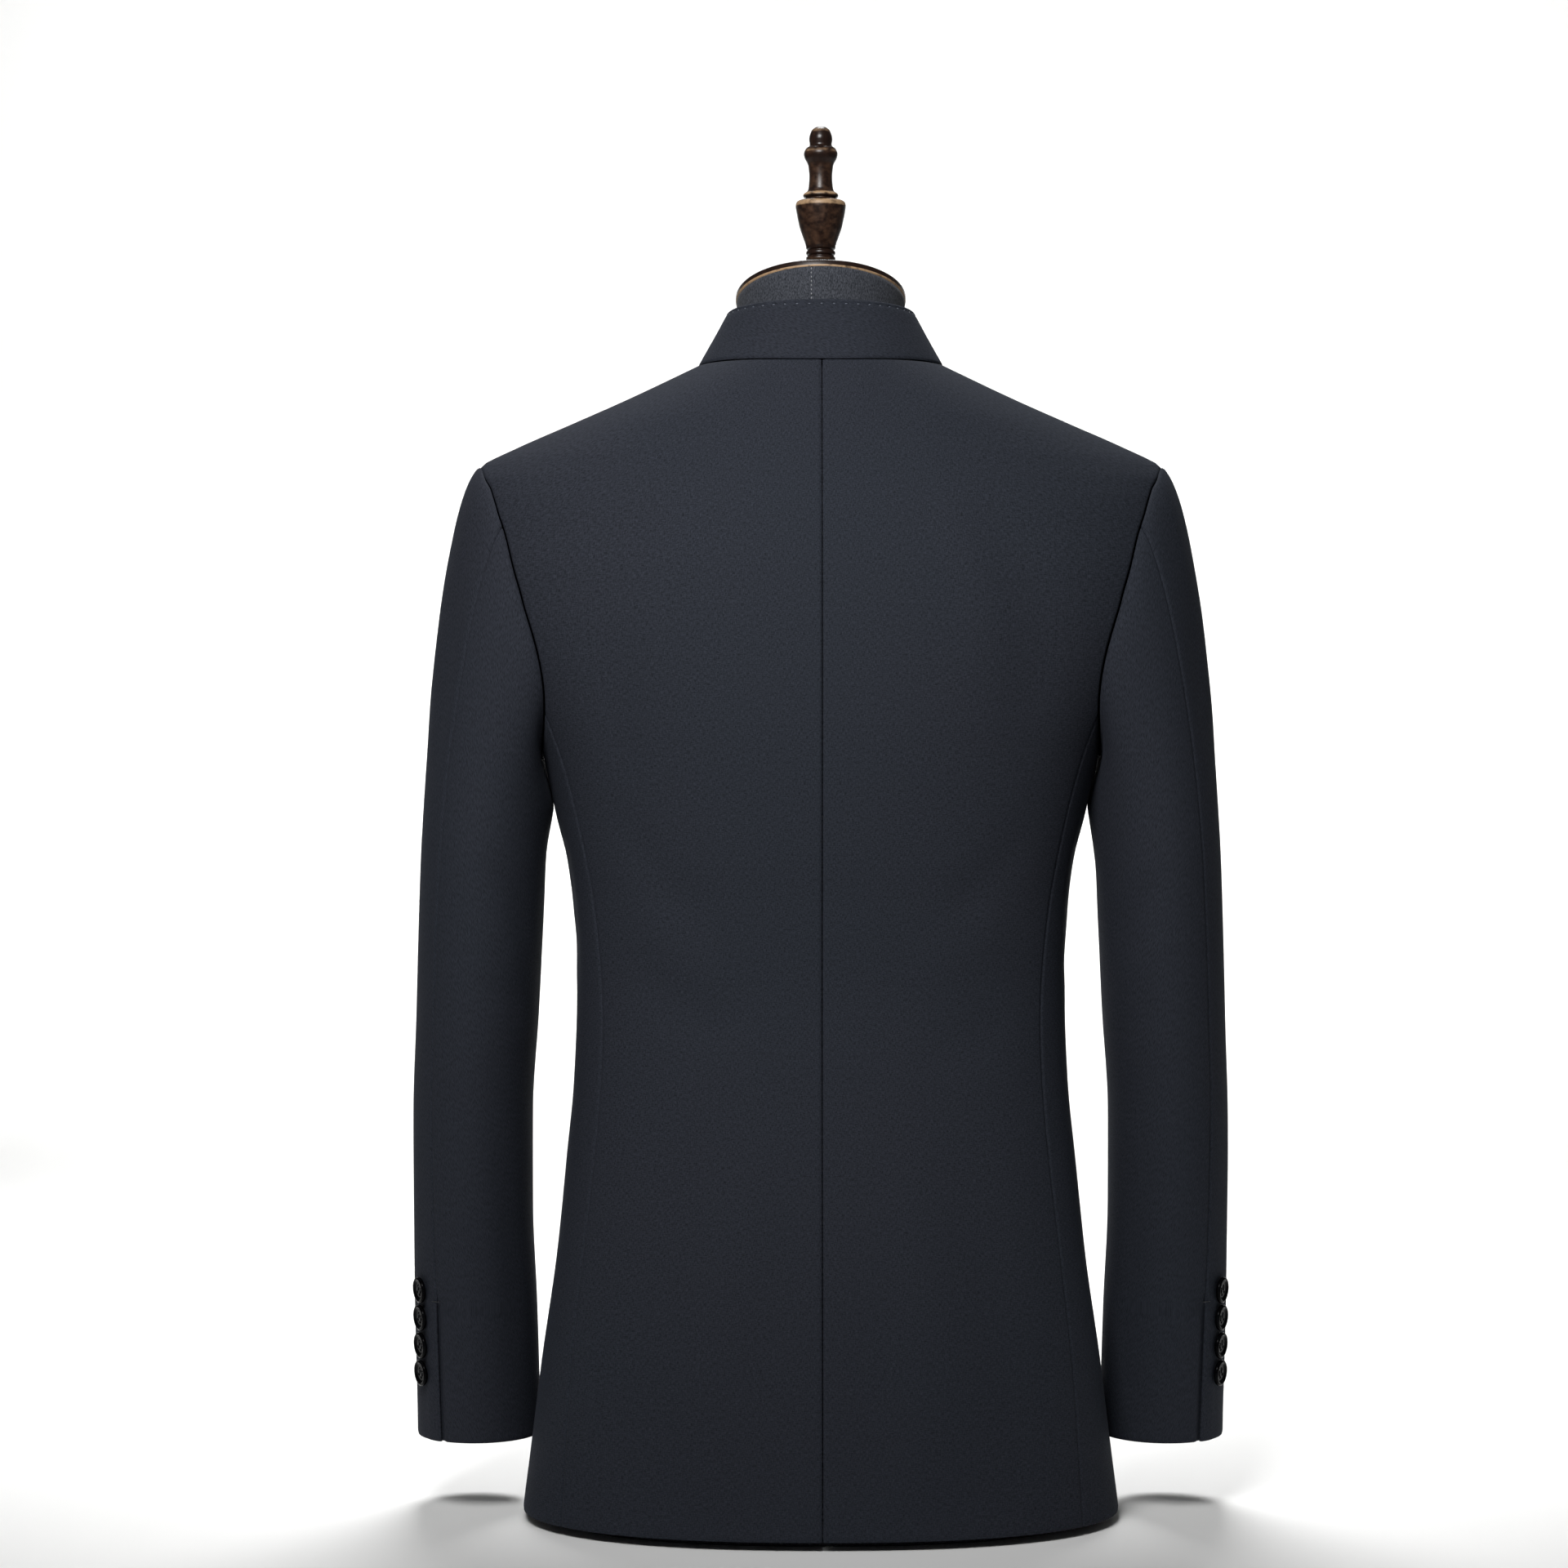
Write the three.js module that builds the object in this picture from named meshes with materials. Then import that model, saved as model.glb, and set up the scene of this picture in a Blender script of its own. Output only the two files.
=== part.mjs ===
// Zhongshan jacket with a stand collar, worn by a limbless dress form.
// Millimetres, +Z up. The origin is on the floor, in the middle of the form's base.
// The wearer's front faces -Y and the wearer's left is +X.

import * as THREE from 'three';

// ---------------------------------------------------------------- driving dimensions

const CLOTH = 2;                 // wall of the worsted body panels
const SLEEVE_CLOTH = 1.8;
const COLLAR_CLOTH = 3;          // two layers and a stiff interlining
const SEAM_GAP = 0.3;            // between the pieces on either side of a seam

const HEM_HEIGHT = 6;            // hem above the floor

const NECK = { side: 79, back: 81, front: 88, squareness: 2.2 };
const COLLAR = { heightBack: 39, heightSide: 34, heightFront: 38, leanBack: 15, leanSide: 19, leanFront: 9 };

const ARMHOLE = { height: 579, rise: 93, middle: 1, reach: 70, lowerBulge: 0.22, flatTop: 0.85, seamAngle: 135 };
const SLEEVE = { top: 451, cuff: 47, foreSeam: -120, bodyClearance: 1 };

const RIDGE = { width: 0.35, softness: 24 };   // the shoulder ridge is sharp only near the side

const FRONT_OVERLAP = 18;        // how far each front passes the centre front
const OVERLAP_EASE = 20;         // width over which the left front climbs onto the right one

// Cross-sections of the jacket's outside: half-width at the side, depth behind and in front.
const JACKET_SECTIONS = [
  { z: 0, side: 191.5, back: 128.5, front: 124, squareness: 2.3 },
  { z: 38, side: 187, back: 127, front: 123, squareness: 2.3 },
  { z: 101, side: 180, back: 124, front: 121, squareness: 2.3 },
  { z: 164, side: 171, back: 118, front: 117, squareness: 2.28 },
  { z: 230, side: 163.3, back: 108, front: 111, squareness: 2.25 },
  { z: 280, side: 158.4, back: 101.2, front: 108.4, squareness: 2.25 },
  { z: 330, side: 156.6, back: 98, front: 107, squareness: 2.25 },
  { z: 390, side: 158.8, back: 103, front: 110.5, squareness: 2.28 },
  { z: 420, side: 162.4, back: 107.4, front: 114.4, squareness: 2.3 },
  { z: 448, side: 169.3, back: 111, front: 118, squareness: 2.3 },
  { z: 486, side: 178, back: 115, front: 123, squareness: 2.35 },
  { z: 511, side: 188, back: 116.5, front: 125, squareness: 2.4 },
  { z: 538, side: 203, back: 117, front: 125, squareness: 2.4 },
  { z: 563, side: 213.5, back: 116.5, front: 122, squareness: 2.4 },
  { z: 597, side: 222, back: 114, front: 114.5, squareness: 2.35 },
  { z: 635, side: 229, back: 108, front: 101, squareness: 2.12 },
  { z: 660, side: 229, back: 102.5, front: 89, squareness: 1.96 },
  { z: 672, side: 219.5, back: 99.8, front: 83, squareness: 1.92 },
  { z: 684, side: 196, back: 96.5, front: 77, squareness: 1.92 },
  { z: 700, side: 158.8, back: 92.5, front: 70, squareness: 1.98 },
  { z: 716, side: 121.5, back: 87.5, front: 63.5, squareness: 2.06 },
  { z: 731.5, side: 88, back: 81.8, front: 57.5, squareness: 2.15 },
  { z: 742, side: 66, back: 77.5, front: 53.5, squareness: 2.2 },
];

// Cross-sections of the form, inside the jacket and up its neck.
const FORM_SECTIONS = [
  { z: 0, side: 170, back: 110, front: 106, squareness: 2.3 },
  { z: 101, side: 167, back: 111, front: 108, squareness: 2.3 },
  { z: 164, side: 159.5, back: 106.5, front: 105, squareness: 2.3 },
  { z: 230, side: 151, back: 98.5, front: 100.5, squareness: 2.25 },
  { z: 330, side: 144, back: 89, front: 96, squareness: 2.25 },
  { z: 390, side: 147, back: 93.5, front: 101, squareness: 2.3 },
  { z: 448, side: 157, back: 101.5, front: 108, squareness: 2.3 },
  { z: 511, side: 173, back: 107.5, front: 115, squareness: 2.35 },
  { z: 563, side: 183, back: 108.5, front: 113, squareness: 2.35 },
  { z: 597, side: 188, back: 106.5, front: 106, squareness: 2.25 },
  { z: 635, side: 189, back: 101, front: 93, squareness: 2.08 },
  { z: 660, side: 187, back: 95.8, front: 81, squareness: 1.95 },
  { z: 672, side: 182, back: 92.8, front: 75, squareness: 1.92 },
  { z: 684, side: 169, back: 89.3, front: 69.5, squareness: 1.92 },
  { z: 700, side: 141, back: 85, front: 64, squareness: 1.95 },
  { z: 716, side: 106.5, back: 79, front: 60.5, squareness: 2 },
  { z: 731.5, side: 73, back: 70, front: 59, squareness: 2 },
  { z: 745, side: 58, back: 61, front: 58, squareness: 2 },
  { z: 758, side: 54, back: 57.5, front: 57, squareness: 2 },
];
const NECK_COLUMN = { side: 54, depth: 56.5, levelTop: 752 };

// Cross-sections of a sleeve hanging at the wearer's left.
const ARM_SECTIONS = [
  { z: 451, inside: 172, outside: 255, middle: 0, depth: 70 },
  { z: 430, inside: 175, outside: 256.2, middle: 0, depth: 69.5 },
  { z: 385, inside: 178, outside: 258, middle: -2, depth: 67.5 },
  { z: 322, inside: 181.6, outside: 260, middle: -6, depth: 65 },
  { z: 259, inside: 185.8, outside: 262, middle: -12, depth: 61.5 },
  { z: 196, inside: 186.2, outside: 262.4, middle: -19, depth: 58 },
  { z: 133, inside: 184, outside: 262.5, middle: -27, depth: 54 },
  { z: 47, inside: 182.2, outside: 262.2, middle: -38, depth: 50 },
];

// Course of the hind-arm seam round the sleeve, in degrees from the outside towards the back.
const HIND_SEAM = [
  { along: 0, angle: 60 },
  { along: 1, angle: 54 },
  { along: 1.3, angle: 52 },
  { along: 2, angle: 57.5 },
];

// Side seams of the body, in degrees from the centre back, at the hem.
const HEM_SEAMS = { back: 65, front: 110 };

const CUFF_BUTTON = { diameter: 16.8, thickness: 3.2, pitch: 18.1, lowest: 90.6, angle: 36, count: 4 };
const FRONT_BUTTON = { diameter: 21, thickness: 3.8, pitch: 99, lowest: 238, count: 5 };
const BUTTON_STANDOFF = 0.8;     // the thread shank

// Pocket flaps lie between two angles from the centre back, with a soft point below the middle.
const FLAPS = [
  { name: 'chest_flap', from: 126, to: 160, top: 592, sideDepth: 42, pointDepth: 50 },
  { name: 'hip_flap', from: 113, to: 159, top: 262, sideDepth: 54, pointDepth: 64 },
];

const CAP = { side: 54.6, depth: 57.5, thickness: 5.4, height: 777.5, tilt: 17 };

// Turned finial: radius at each height.
const FINIAL_PROFILE = [
  { radius: 7.2, z: 786 }, { radius: 7.2, z: 804.5 }, { radius: 9.4, z: 805.6 }, { radius: 9.4, z: 807.4 },
  { radius: 8.2, z: 808.3 }, { radius: 9.4, z: 809.2 }, { radius: 9.4, z: 811 }, { radius: 8.2, z: 811.9 },
  { radius: 9.4, z: 812.8 }, { radius: 9.6, z: 815.2 }, { radius: 11.6, z: 820.8 }, { radius: 13.5, z: 826 },
  { radius: 15.2, z: 834 }, { radius: 16.3, z: 840.6 }, { radius: 15.4, z: 843.4 }, { radius: 9, z: 845 },
  { radius: 11.3, z: 846.2 }, { radius: 11.3, z: 848 }, { radius: 8, z: 850 }, { radius: 7.2, z: 859 },
  { radius: 8, z: 867 }, { radius: 10.4, z: 871 }, { radius: 11, z: 874.3 }, { radius: 9.6, z: 877.4 },
  { radius: 6.8, z: 879 }, { radius: 7.7, z: 884 }, { radius: 6, z: 889 }, { radius: 3.6, z: 891 },
];
const FINIAL_TIP = 891.6;

// ---------------------------------------------------------------- fineness of the meshes

const SEAM_ROWS = [0, 0.08, 0.19, 0.31, 0.4, 0.48, 0.56, 0.64, 0.72, 0.81, 0.91, 1];   // up the side seam
const ARMHOLE_ROWS = [120, 105, 90, 75, 60, 45, 30, 15, 0];         // degrees round the armhole to its top
const SHOULDER_ROWS = [0.2, 0.4, 0.6, 0.8, 1];                      // shoulder point to neck
const LEVEL_ROWS = 9;                                               // how many rows above the hem are level
const SLEEVE_ROWS = [0, 0.04, 0.12, 0.24, 0.4, 0.58, 0.78, 1, 1.07, 1.18, 1.33, 1.49, 1.65, 1.82, 2];
const BACK_COLUMNS = 10;
const FRONT_COLUMNS = 11;
const SIDE_COLUMNS = 6;
const SLEEVE_COLUMNS = 12;
const COLLAR_COLUMNS = 48;
const FORM_COLUMNS = 32;
const TURNED_SIDES = 16;
const BUTTON_SIDES = 14;

const radians = THREE.MathUtils.degToRad;
const degrees = THREE.MathUtils.radToDeg;
const mix = THREE.MathUtils.lerp;

// ---------------------------------------------------------------- curves and surfaces

/** A smooth curve through one column of a table, which never overshoots between two rows. */
function curveThrough(table, column, along = 'z') {
  const stations = table.map((row) => row[along]);
  const values = table.map((row) => row[column]);
  const slopes = stations.slice(1).map((end, i) => (values[i + 1] - values[i]) / (end - stations[i]));
  const tangents = stations.map((_, i) => {
    if (i === 0) return slopes[0];
    if (i === slopes.length) return slopes[i - 1];
    const before = slopes[i - 1];
    const after = slopes[i];
    return before * after <= 0 ? 0 : (2 * before * after) / (before + after);
  });
  return (station) => {
    const next = stations.findIndex((value) => value > station);
    const i = next === -1 ? slopes.length - 1 : Math.max(next - 1, 0);
    const step = stations[i + 1] - stations[i];
    const t = (station - stations[i]) / step;
    if (t <= 0) return values[i] + tangents[i] * (station - stations[i]);
    if (t >= 1) return values[i + 1] + tangents[i + 1] * (station - stations[i + 1]);
    return values[i] * (1 + 2 * t) * (1 - t) ** 2 + values[i + 1] * t * t * (3 - 2 * t)
      + step * (tangents[i] * t * (1 - t) ** 2 + tangents[i + 1] * t * t * (t - 1));
  };
}

/** Distance from the middle of a rounded section to its edge, at an angle from straight behind. */
function sectionRadius({ side, back, front, squareness }, angle) {
  const across = Math.abs(Math.sin(angle)) / side;
  const along = Math.abs(Math.cos(angle)) / (Math.cos(angle) > 0 ? back : front);
  return (across ** squareness + along ** squareness) ** (-1 / squareness);
}

/** An upright surface through a table of sections, read by angle from the centre back and height. */
function sectionSurface(table) {
  const curves = {
    side: curveThrough(table, 'side'),
    back: curveThrough(table, 'back'),
    front: curveThrough(table, 'front'),
    squareness: curveThrough(table, 'squareness'),
  };
  const sectionAt = (z) => ({
    side: curves.side(z), back: curves.back(z), front: curves.front(z), squareness: curves.squareness(z),
  });
  const softSide = (z) => [-1, -0.5, 0, 0.5, 1]
    .reduce((sum, share) => sum + curves.side(z + share * RIDGE.softness) / 5, 0);
  const radius = (angle, z) => {
    const section = sectionAt(z);
    const awayFromRidge = THREE.MathUtils.smoothstep(Math.abs(Math.cos(angle)), 0, RIDGE.width);
    return sectionRadius({ ...section, side: mix(section.side, softSide(z), awayFromRidge) }, angle);
  };
  const onSurface = (angle, z) => {
    const reach = radius(angle, z);
    return new THREE.Vector3(reach * Math.sin(angle), reach * Math.cos(angle), z);
  };
  const normal = (angle, z) => {
    const turn = 0.002;
    const rise = 0.5;
    const up = onSurface(angle, z + rise).sub(onSurface(angle, z - rise));
    const round = onSurface(angle + turn, z).sub(onSurface(angle - turn, z));
    return up.cross(round).normalize();
  };
  const point = (angle, z, lift = 0) => onSurface(angle, z).addScaledVector(normal(angle, z), lift);
  return { radius, normal, point };
}

const jacket = sectionSurface(JACKET_SECTIONS);
const form = sectionSurface(FORM_SECTIONS);

/** Halves a range until it holds only the place where a test stops being true. */
function lastTrue(low, high, test) {
  while (high - low > 1e-6) {
    const middle = (low + high) / 2;
    if (test(middle)) low = middle;
    else high = middle;
  }
  return low;
}

/** Height of the neckline at an angle: where the jacket's surface meets the oval of the neck. */
function necklineHeight(angle) {
  const opening = sectionRadius(NECK, angle);
  return lastTrue(600, 745, (z) => jacket.radius(angle, z) > opening);
}

const SIDE_NECK_HEIGHT = necklineHeight(Math.PI / 2);

/** Place on the armhole seam of the left side, at degrees from its top towards the back. */
function armholeSeam(turn) {
  const [up, back] = [Math.cos(radians(turn)), Math.sin(radians(turn))];
  const flatter = (share) => Math.sign(share) * Math.abs(share) ** (up > 0 ? ARMHOLE.flatTop : 1);
  const z = ARMHOLE.height + ARMHOLE.rise * flatter(up);
  const y = ARMHOLE.middle + ARMHOLE.reach * flatter(back) * (1 - ARMHOLE.lowerBulge * up);
  return { angle: lastTrue(0, Math.PI, (around) => jacket.radius(around, z) * Math.cos(around) > y), z };
}

// ---------------------------------------------------------------- closed solids from grids of points

function solidFrom(points, faces) {
  let sixVolumes = 0;
  for (let i = 0; i < faces.length; i += 3) {
    const [a, b, c] = [points[faces[i]], points[faces[i + 1]], points[faces[i + 2]]];
    sixVolumes += a.dot(new THREE.Vector3().crossVectors(b, c));
  }
  const geometry = new THREE.BufferGeometry().setFromPoints(points);
  geometry.setIndex(sixVolumes > 0 ? faces : faces.toReversed());
  geometry.computeVertexNormals();
  return geometry;
}

/** A wall of cloth between an outer and an inner grid, closed along its four edges. */
function clothWall(outer, inner) {
  const rows = outer.length;
  const columns = outer[0].length;
  const at = (layer, row, column) => (layer * rows + row) * columns + column;
  const faces = [];
  const quad = (a, b, c, d) => faces.push(a, b, c, a, c, d);
  for (let row = 0; row < rows - 1; row += 1) {
    for (let column = 0; column < columns - 1; column += 1) {
      quad(at(0, row, column), at(0, row, column + 1), at(0, row + 1, column + 1), at(0, row + 1, column));
      quad(at(1, row, column), at(1, row + 1, column), at(1, row + 1, column + 1), at(1, row, column + 1));
    }
    quad(at(0, row + 1, columns - 1), at(0, row, columns - 1), at(1, row, columns - 1), at(1, row + 1, columns - 1));
    quad(at(0, row, 0), at(0, row + 1, 0), at(1, row + 1, 0), at(1, row, 0));
  }
  for (let column = 0; column < columns - 1; column += 1) {
    quad(at(0, 0, column + 1), at(0, 0, column), at(1, 0, column), at(1, 0, column + 1));
    quad(at(0, rows - 1, column), at(0, rows - 1, column + 1), at(1, rows - 1, column + 1), at(1, rows - 1, column));
  }
  return solidFrom([...outer.flat(), ...inner.flat()], faces);
}

/** A solid through closed rings, with a fan over each end. */
function loft(rings) {
  const sides = rings[0].length;
  const points = rings.flat();
  const faces = [];
  for (let ring = 0; ring < rings.length - 1; ring += 1) {
    for (let i = 0; i < sides; i += 1) {
      const [a, b] = [ring * sides + i, ring * sides + ((i + 1) % sides)];
      faces.push(a, b, b + sides, a, b + sides, a + sides);
    }
  }
  for (const [ring, first, second] of [[0, 1, 0], [rings.length - 1, 0, 1]]) {
    const middle = points.length;
    points.push(rings[ring].reduce((sum, p) => sum.add(p), new THREE.Vector3()).divideScalar(sides));
    for (let i = 0; i < sides; i += 1) {
      faces.push(middle, ring * sides + ((i + first) % sides), ring * sides + ((i + second) % sides));
    }
  }
  return solidFrom(points, faces);
}

/** The same grid on the other side of the body. */
const mirrored = (grid) => grid.map((row) => row.map((p) => new THREE.Vector3(-p.x, p.y, p.z)));

/** Both faces of a wall from a function that gives a point at a row, a column and a lift. */
function wallGrids(rows, columns, pointAt, outside, inside) {
  const layer = (lift) => rows.map((row) => columns.map((column) => pointAt(row, column, lift)));
  return { outer: layer(outside), inner: layer(inside) };
}

const shares = (count) => Array.from({ length: count + 1 }, (_, i) => i / count);

// ---------------------------------------------------------------- body panels

/** Angle of a side seam at a height between the hem and the armhole. */
function sideSeamAngle(which, z) {
  const top = armholeSeam(which === 'back' ? ARMHOLE.seamAngle : -ARMHOLE.seamAngle);
  return mix(radians(HEM_SEAMS[which]), top.angle, (z - HEM_HEIGHT) / (top.z - HEM_HEIGHT));
}

/**
 * Rows of a back or front panel from hem to neck. Each starts on the panel's side edge, which follows the
 * side seam, the armhole and the shoulder seam. The lower rows are level, the others fan to the neckline.
 */
function panelRows(which) {
  const sign = which === 'back' ? 1 : -1;
  const seamTop = armholeSeam(sign * ARMHOLE.seamAngle).z;
  const gapAngle = (z, angle) => (-sign * SEAM_GAP) / 2 / jacket.radius(angle, z);
  const seam = SEAM_ROWS.map((share) => {
    const z = mix(HEM_HEIGHT, seamTop, share);
    const angle = sideSeamAngle(which, z);
    return { angle: angle + gapAngle(z, angle), z };
  });
  const armhole = ARMHOLE_ROWS.map((turn) => armholeSeam(sign * turn));
  armhole.at(-1).angle += gapAngle(armhole.at(-1).z, Math.PI / 2);
  const shoulder = SHOULDER_ROWS.map((share) => {
    const z = mix(ARMHOLE.height + ARMHOLE.rise, SIDE_NECK_HEIGHT, share);
    return { angle: Math.PI / 2 + gapAngle(z, Math.PI / 2), z };
  });
  const edges = [...seam, ...armhole, ...shoulder];
  const levelTop = edges[LEVEL_ROWS].z;
  return edges.map((edge, index) => ({
    ...edge,
    levelTop,
    edgeRise: (edge.z - levelTop) / (necklineHeight(edge.angle) - levelTop),
    centreRise: (index - LEVEL_ROWS) / (edges.length - 1 - LEVEL_ROWS),
  }));
}

/** Height on a row at an angle and a share of the way from the side edge to the centre. */
function rowHeight({ z, levelTop, edgeRise, centreRise }, angle, share) {
  if (edgeRise <= 0) return z;
  return mix(levelTop, necklineHeight(angle), mix(edgeRise, centreRise, Math.min(share, 1)));
}

function backPanel() {
  return wallGrids(panelRows('back'), shares(BACK_COLUMNS), (row, share, lift) => {
    const centreBack = SEAM_GAP / 2 / jacket.radius(0, rowHeight(row, 0, 1));
    const angle = mix(row.angle, centreBack, share);
    return jacket.point(angle, rowHeight(row, angle, share), lift);
  }, 0, -CLOTH);
}

function sidePanel() {
  return wallGrids(SEAM_ROWS, shares(SIDE_COLUMNS), (row, share, lift) => {
    const top = armholeSeam(mix(ARMHOLE.seamAngle, 360 - ARMHOLE.seamAngle, share));
    const z = mix(HEM_HEIGHT, top.z, row);
    const [back, front] = [sideSeamAngle('back', z), sideSeamAngle('front', z)];
    const gap = SEAM_GAP / 2 / jacket.radius(Math.PI / 2, z);
    const between = mix(back + gap, front - gap, share);
    const atTop = mix(sideSeamAngle('back', top.z), sideSeamAngle('front', top.z), share);
    return jacket.point(between + (top.angle - atTop) * row ** 3, z, lift);
  }, 0, -CLOTH);
}

/** A front, from its side seam to past the centre front. The upper one climbs over the other. */
function frontPanel(lies) {
  const climb = lies === 'over' ? CLOTH + SEAM_GAP * 2 : 0;
  const columns = [...shares(FRONT_COLUMNS), 1.25, 1.5, 1.75, 2];
  return wallGrids(panelRows('front'), columns, (row, share, lift) => {
    const overlap = FRONT_OVERLAP / jacket.radius(Math.PI, rowHeight(row, Math.PI, 1));
    const angle = share <= 1
      ? mix(row.angle, Math.PI - overlap, share)
      : mix(Math.PI - overlap, Math.PI + overlap, share - 1);
    const z = rowHeight(row, angle, share);
    const fromCentre = jacket.radius(angle, z) * Math.sin(angle);
    const ease = 1 - THREE.MathUtils.smoothstep(fromCentre, FRONT_OVERLAP, FRONT_OVERLAP + OVERLAP_EASE);
    return jacket.point(angle, z, lift + climb * ease);
  }, 0, -CLOTH);
}

// ---------------------------------------------------------------- stand collar

function standCollar() {
  const openAngle = SEAM_GAP / NECK.front;
  const columns = shares(COLLAR_COLUMNS).map((share) => mix(-Math.PI + openAngle, Math.PI - openAngle, share));
  const rows = [0, 0.33, 0.7, 1];
  const lean = (angle) => sectionRadius({
    side: COLLAR.leanSide, back: COLLAR.leanBack, front: COLLAR.leanFront, squareness: 2,
  }, angle);
  const height = (angle) => sectionRadius({
    side: COLLAR.heightSide, back: COLLAR.heightBack, front: COLLAR.heightFront, squareness: 2,
  }, angle);
  const pointAt = (row, angle, inwards) => {
    const reach = sectionRadius(NECK, angle) - lean(angle) * row - inwards;
    const cornerRound = 7 * row * Math.max(0, 1 - (Math.PI - Math.abs(angle)) * NECK.front / 12) ** 2;
    const z = necklineHeight(Math.abs(angle)) + SEAM_GAP * 2 + height(angle) * row - cornerRound;
    return new THREE.Vector3(reach * Math.sin(angle), reach * Math.cos(angle), z);
  };
  return wallGrids(rows, columns, pointAt, 0, COLLAR_CLOTH);
}

// ---------------------------------------------------------------- sleeves

const arm = {
  inside: curveThrough([...ARM_SECTIONS].reverse(), 'inside'),
  outside: curveThrough([...ARM_SECTIONS].reverse(), 'outside'),
  middle: curveThrough([...ARM_SECTIONS].reverse(), 'middle'),
  depth: curveThrough([...ARM_SECTIONS].reverse(), 'depth'),
};
const hindSeamAngle = curveThrough(HIND_SEAM, 'angle', 'along');

/** Point of the hanging part of the sleeve, at an angle from its outside towards the back. */
function armPoint(angle, z) {
  const centre = (arm.inside(z) + arm.outside(z)) / 2;
  const halfWidth = (arm.outside(z) - arm.inside(z)) / 2;
  return new THREE.Vector3(centre + halfWidth * Math.cos(angle), arm.middle(z) + arm.depth(z) * Math.sin(angle), z);
}

/** Moves a point level outwards until it clears the body panels. */
function clearOfBody(point, clearance) {
  const reach = Math.hypot(point.x, point.y);
  const least = jacket.radius(Math.atan2(point.x, point.y), point.z) + clearance;
  const factor = Math.max(1, least / reach);
  return new THREE.Vector3(point.x * factor, point.y * factor, point.z);
}

/** Sleeve head: a curve from the armhole seam that rolls out and down into the hanging sleeve. */
function sleeveHeadPoint(angle, share) {
  const seam = armholeSeam(degrees(angle));
  const normal = jacket.normal(seam.angle, seam.z);
  const outerness = (1 + Math.cos(angle)) / 2;
  const start = jacket.point(seam.angle, seam.z, SEAM_GAP * 2);
  start.z -= SEAM_GAP * Math.cos(angle);
  const end = armPoint(angle, SLEEVE.top);
  const upwards = end.clone().sub(armPoint(angle, SLEEVE.top - 1));
  const drop = start.z - end.z;
  const leave = normal.setZ(0).setLength(mix(4, 22, outerness)).setZ(-drop * 0.055);
  const arrive = upwards.setLength(drop * 0.45);
  const curve = new THREE.CubicBezierCurve3(start, start.clone().add(leave), end.clone().add(arrive), end);
  const point = curve.getPoint(share);
  return share === 0 ? point : clearOfBody(point, SLEEVE.bodyClearance);
}

/** Outside of the left sleeve: share 0 to 1 is the head, 1 to 2 hangs down to the cuff. */
function sleeveOutside(angle, share) {
  if (share <= 1) return sleeveHeadPoint(angle, share);
  return armPoint(angle, mix(SLEEVE.top, SLEEVE.cuff, share - 1));
}

function sleevePoint(angle, share, lift) {
  const turn = 0.02;
  const step = 0.01;
  const [before, after] = [Math.max(share - step, 0), Math.min(share + step, 2)];
  const down = sleeveOutside(angle, after).sub(sleeveOutside(angle, before));
  const round = sleeveOutside(angle + turn, share).sub(sleeveOutside(angle - turn, share));
  return sleeveOutside(angle, share).addScaledVector(round.cross(down).negate().normalize(), lift);
}

/** One half of the two-piece sleeve: the top from fore-arm seam to hind-arm seam, or the under. */
function sleevePiece(half) {
  const halfGap = (angle, along) => {
    const turn = 0.02;
    const arc = sleeveOutside(angle + turn, along).distanceTo(sleeveOutside(angle, along)) / turn;
    return SEAM_GAP / 2 / arc;
  };
  return wallGrids(SLEEVE_ROWS, shares(SLEEVE_COLUMNS), (along, share, lift) => {
    const hind = radians(hindSeamAngle(along));
    const fore = radians(SLEEVE.foreSeam);
    const [hindGap, foreGap] = [halfGap(hind, along), halfGap(fore, along)];
    const angle = half === 'top'
      ? mix(fore + foreGap, hind - hindGap, share)
      : mix(hind + hindGap, fore + 2 * Math.PI - foreGap, share);
    return sleevePoint(angle, along, lift);
  }, 0, -SLEEVE_CLOTH);
}

// ---------------------------------------------------------------- pocket flaps and buttons

function pocketFlap({ from, to, top, sideDepth, pointDepth }) {
  const underside = SEAM_GAP * 2;
  return wallGrids([1, 0.5, 0], shares(8), (down, across, lift) => {
    const angle = radians(mix(from, to, across));
    const point = 1 - Math.abs(2 * across - 1) ** 1.6;
    const z = top - down * mix(sideDepth, pointDepth, point);
    return jacket.point(angle, z, lift);
  }, underside + CLOTH, underside);
}

/** A turned button with a raised rim, its back at the origin and its face towards +Z. */
function buttonGeometry({ diameter, thickness }) {
  const radius = diameter / 2;
  const profile = [
    [0, 0], [radius * 0.78, 0], [radius, thickness * 0.35], [radius, thickness * 0.7],
    [radius * 0.88, thickness], [radius * 0.7, thickness], [radius * 0.56, thickness * 0.7], [0, thickness * 0.66],
  ].map(([r, height]) => new THREE.Vector2(r, height));
  return new THREE.LatheGeometry(profile, BUTTON_SIDES).rotateX(Math.PI / 2);
}

/** Where a button sits on the front of the left front panel. */
function frontButtonPlace(index) {
  const z = FRONT_BUTTON.lowest + FRONT_BUTTON.pitch * (FRONT_BUTTON.count - 1 - index);
  const lift = CLOTH + SEAM_GAP * 2 + BUTTON_STANDOFF;
  return { at: jacket.point(Math.PI, z, lift), facing: jacket.normal(Math.PI, z) };
}

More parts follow.
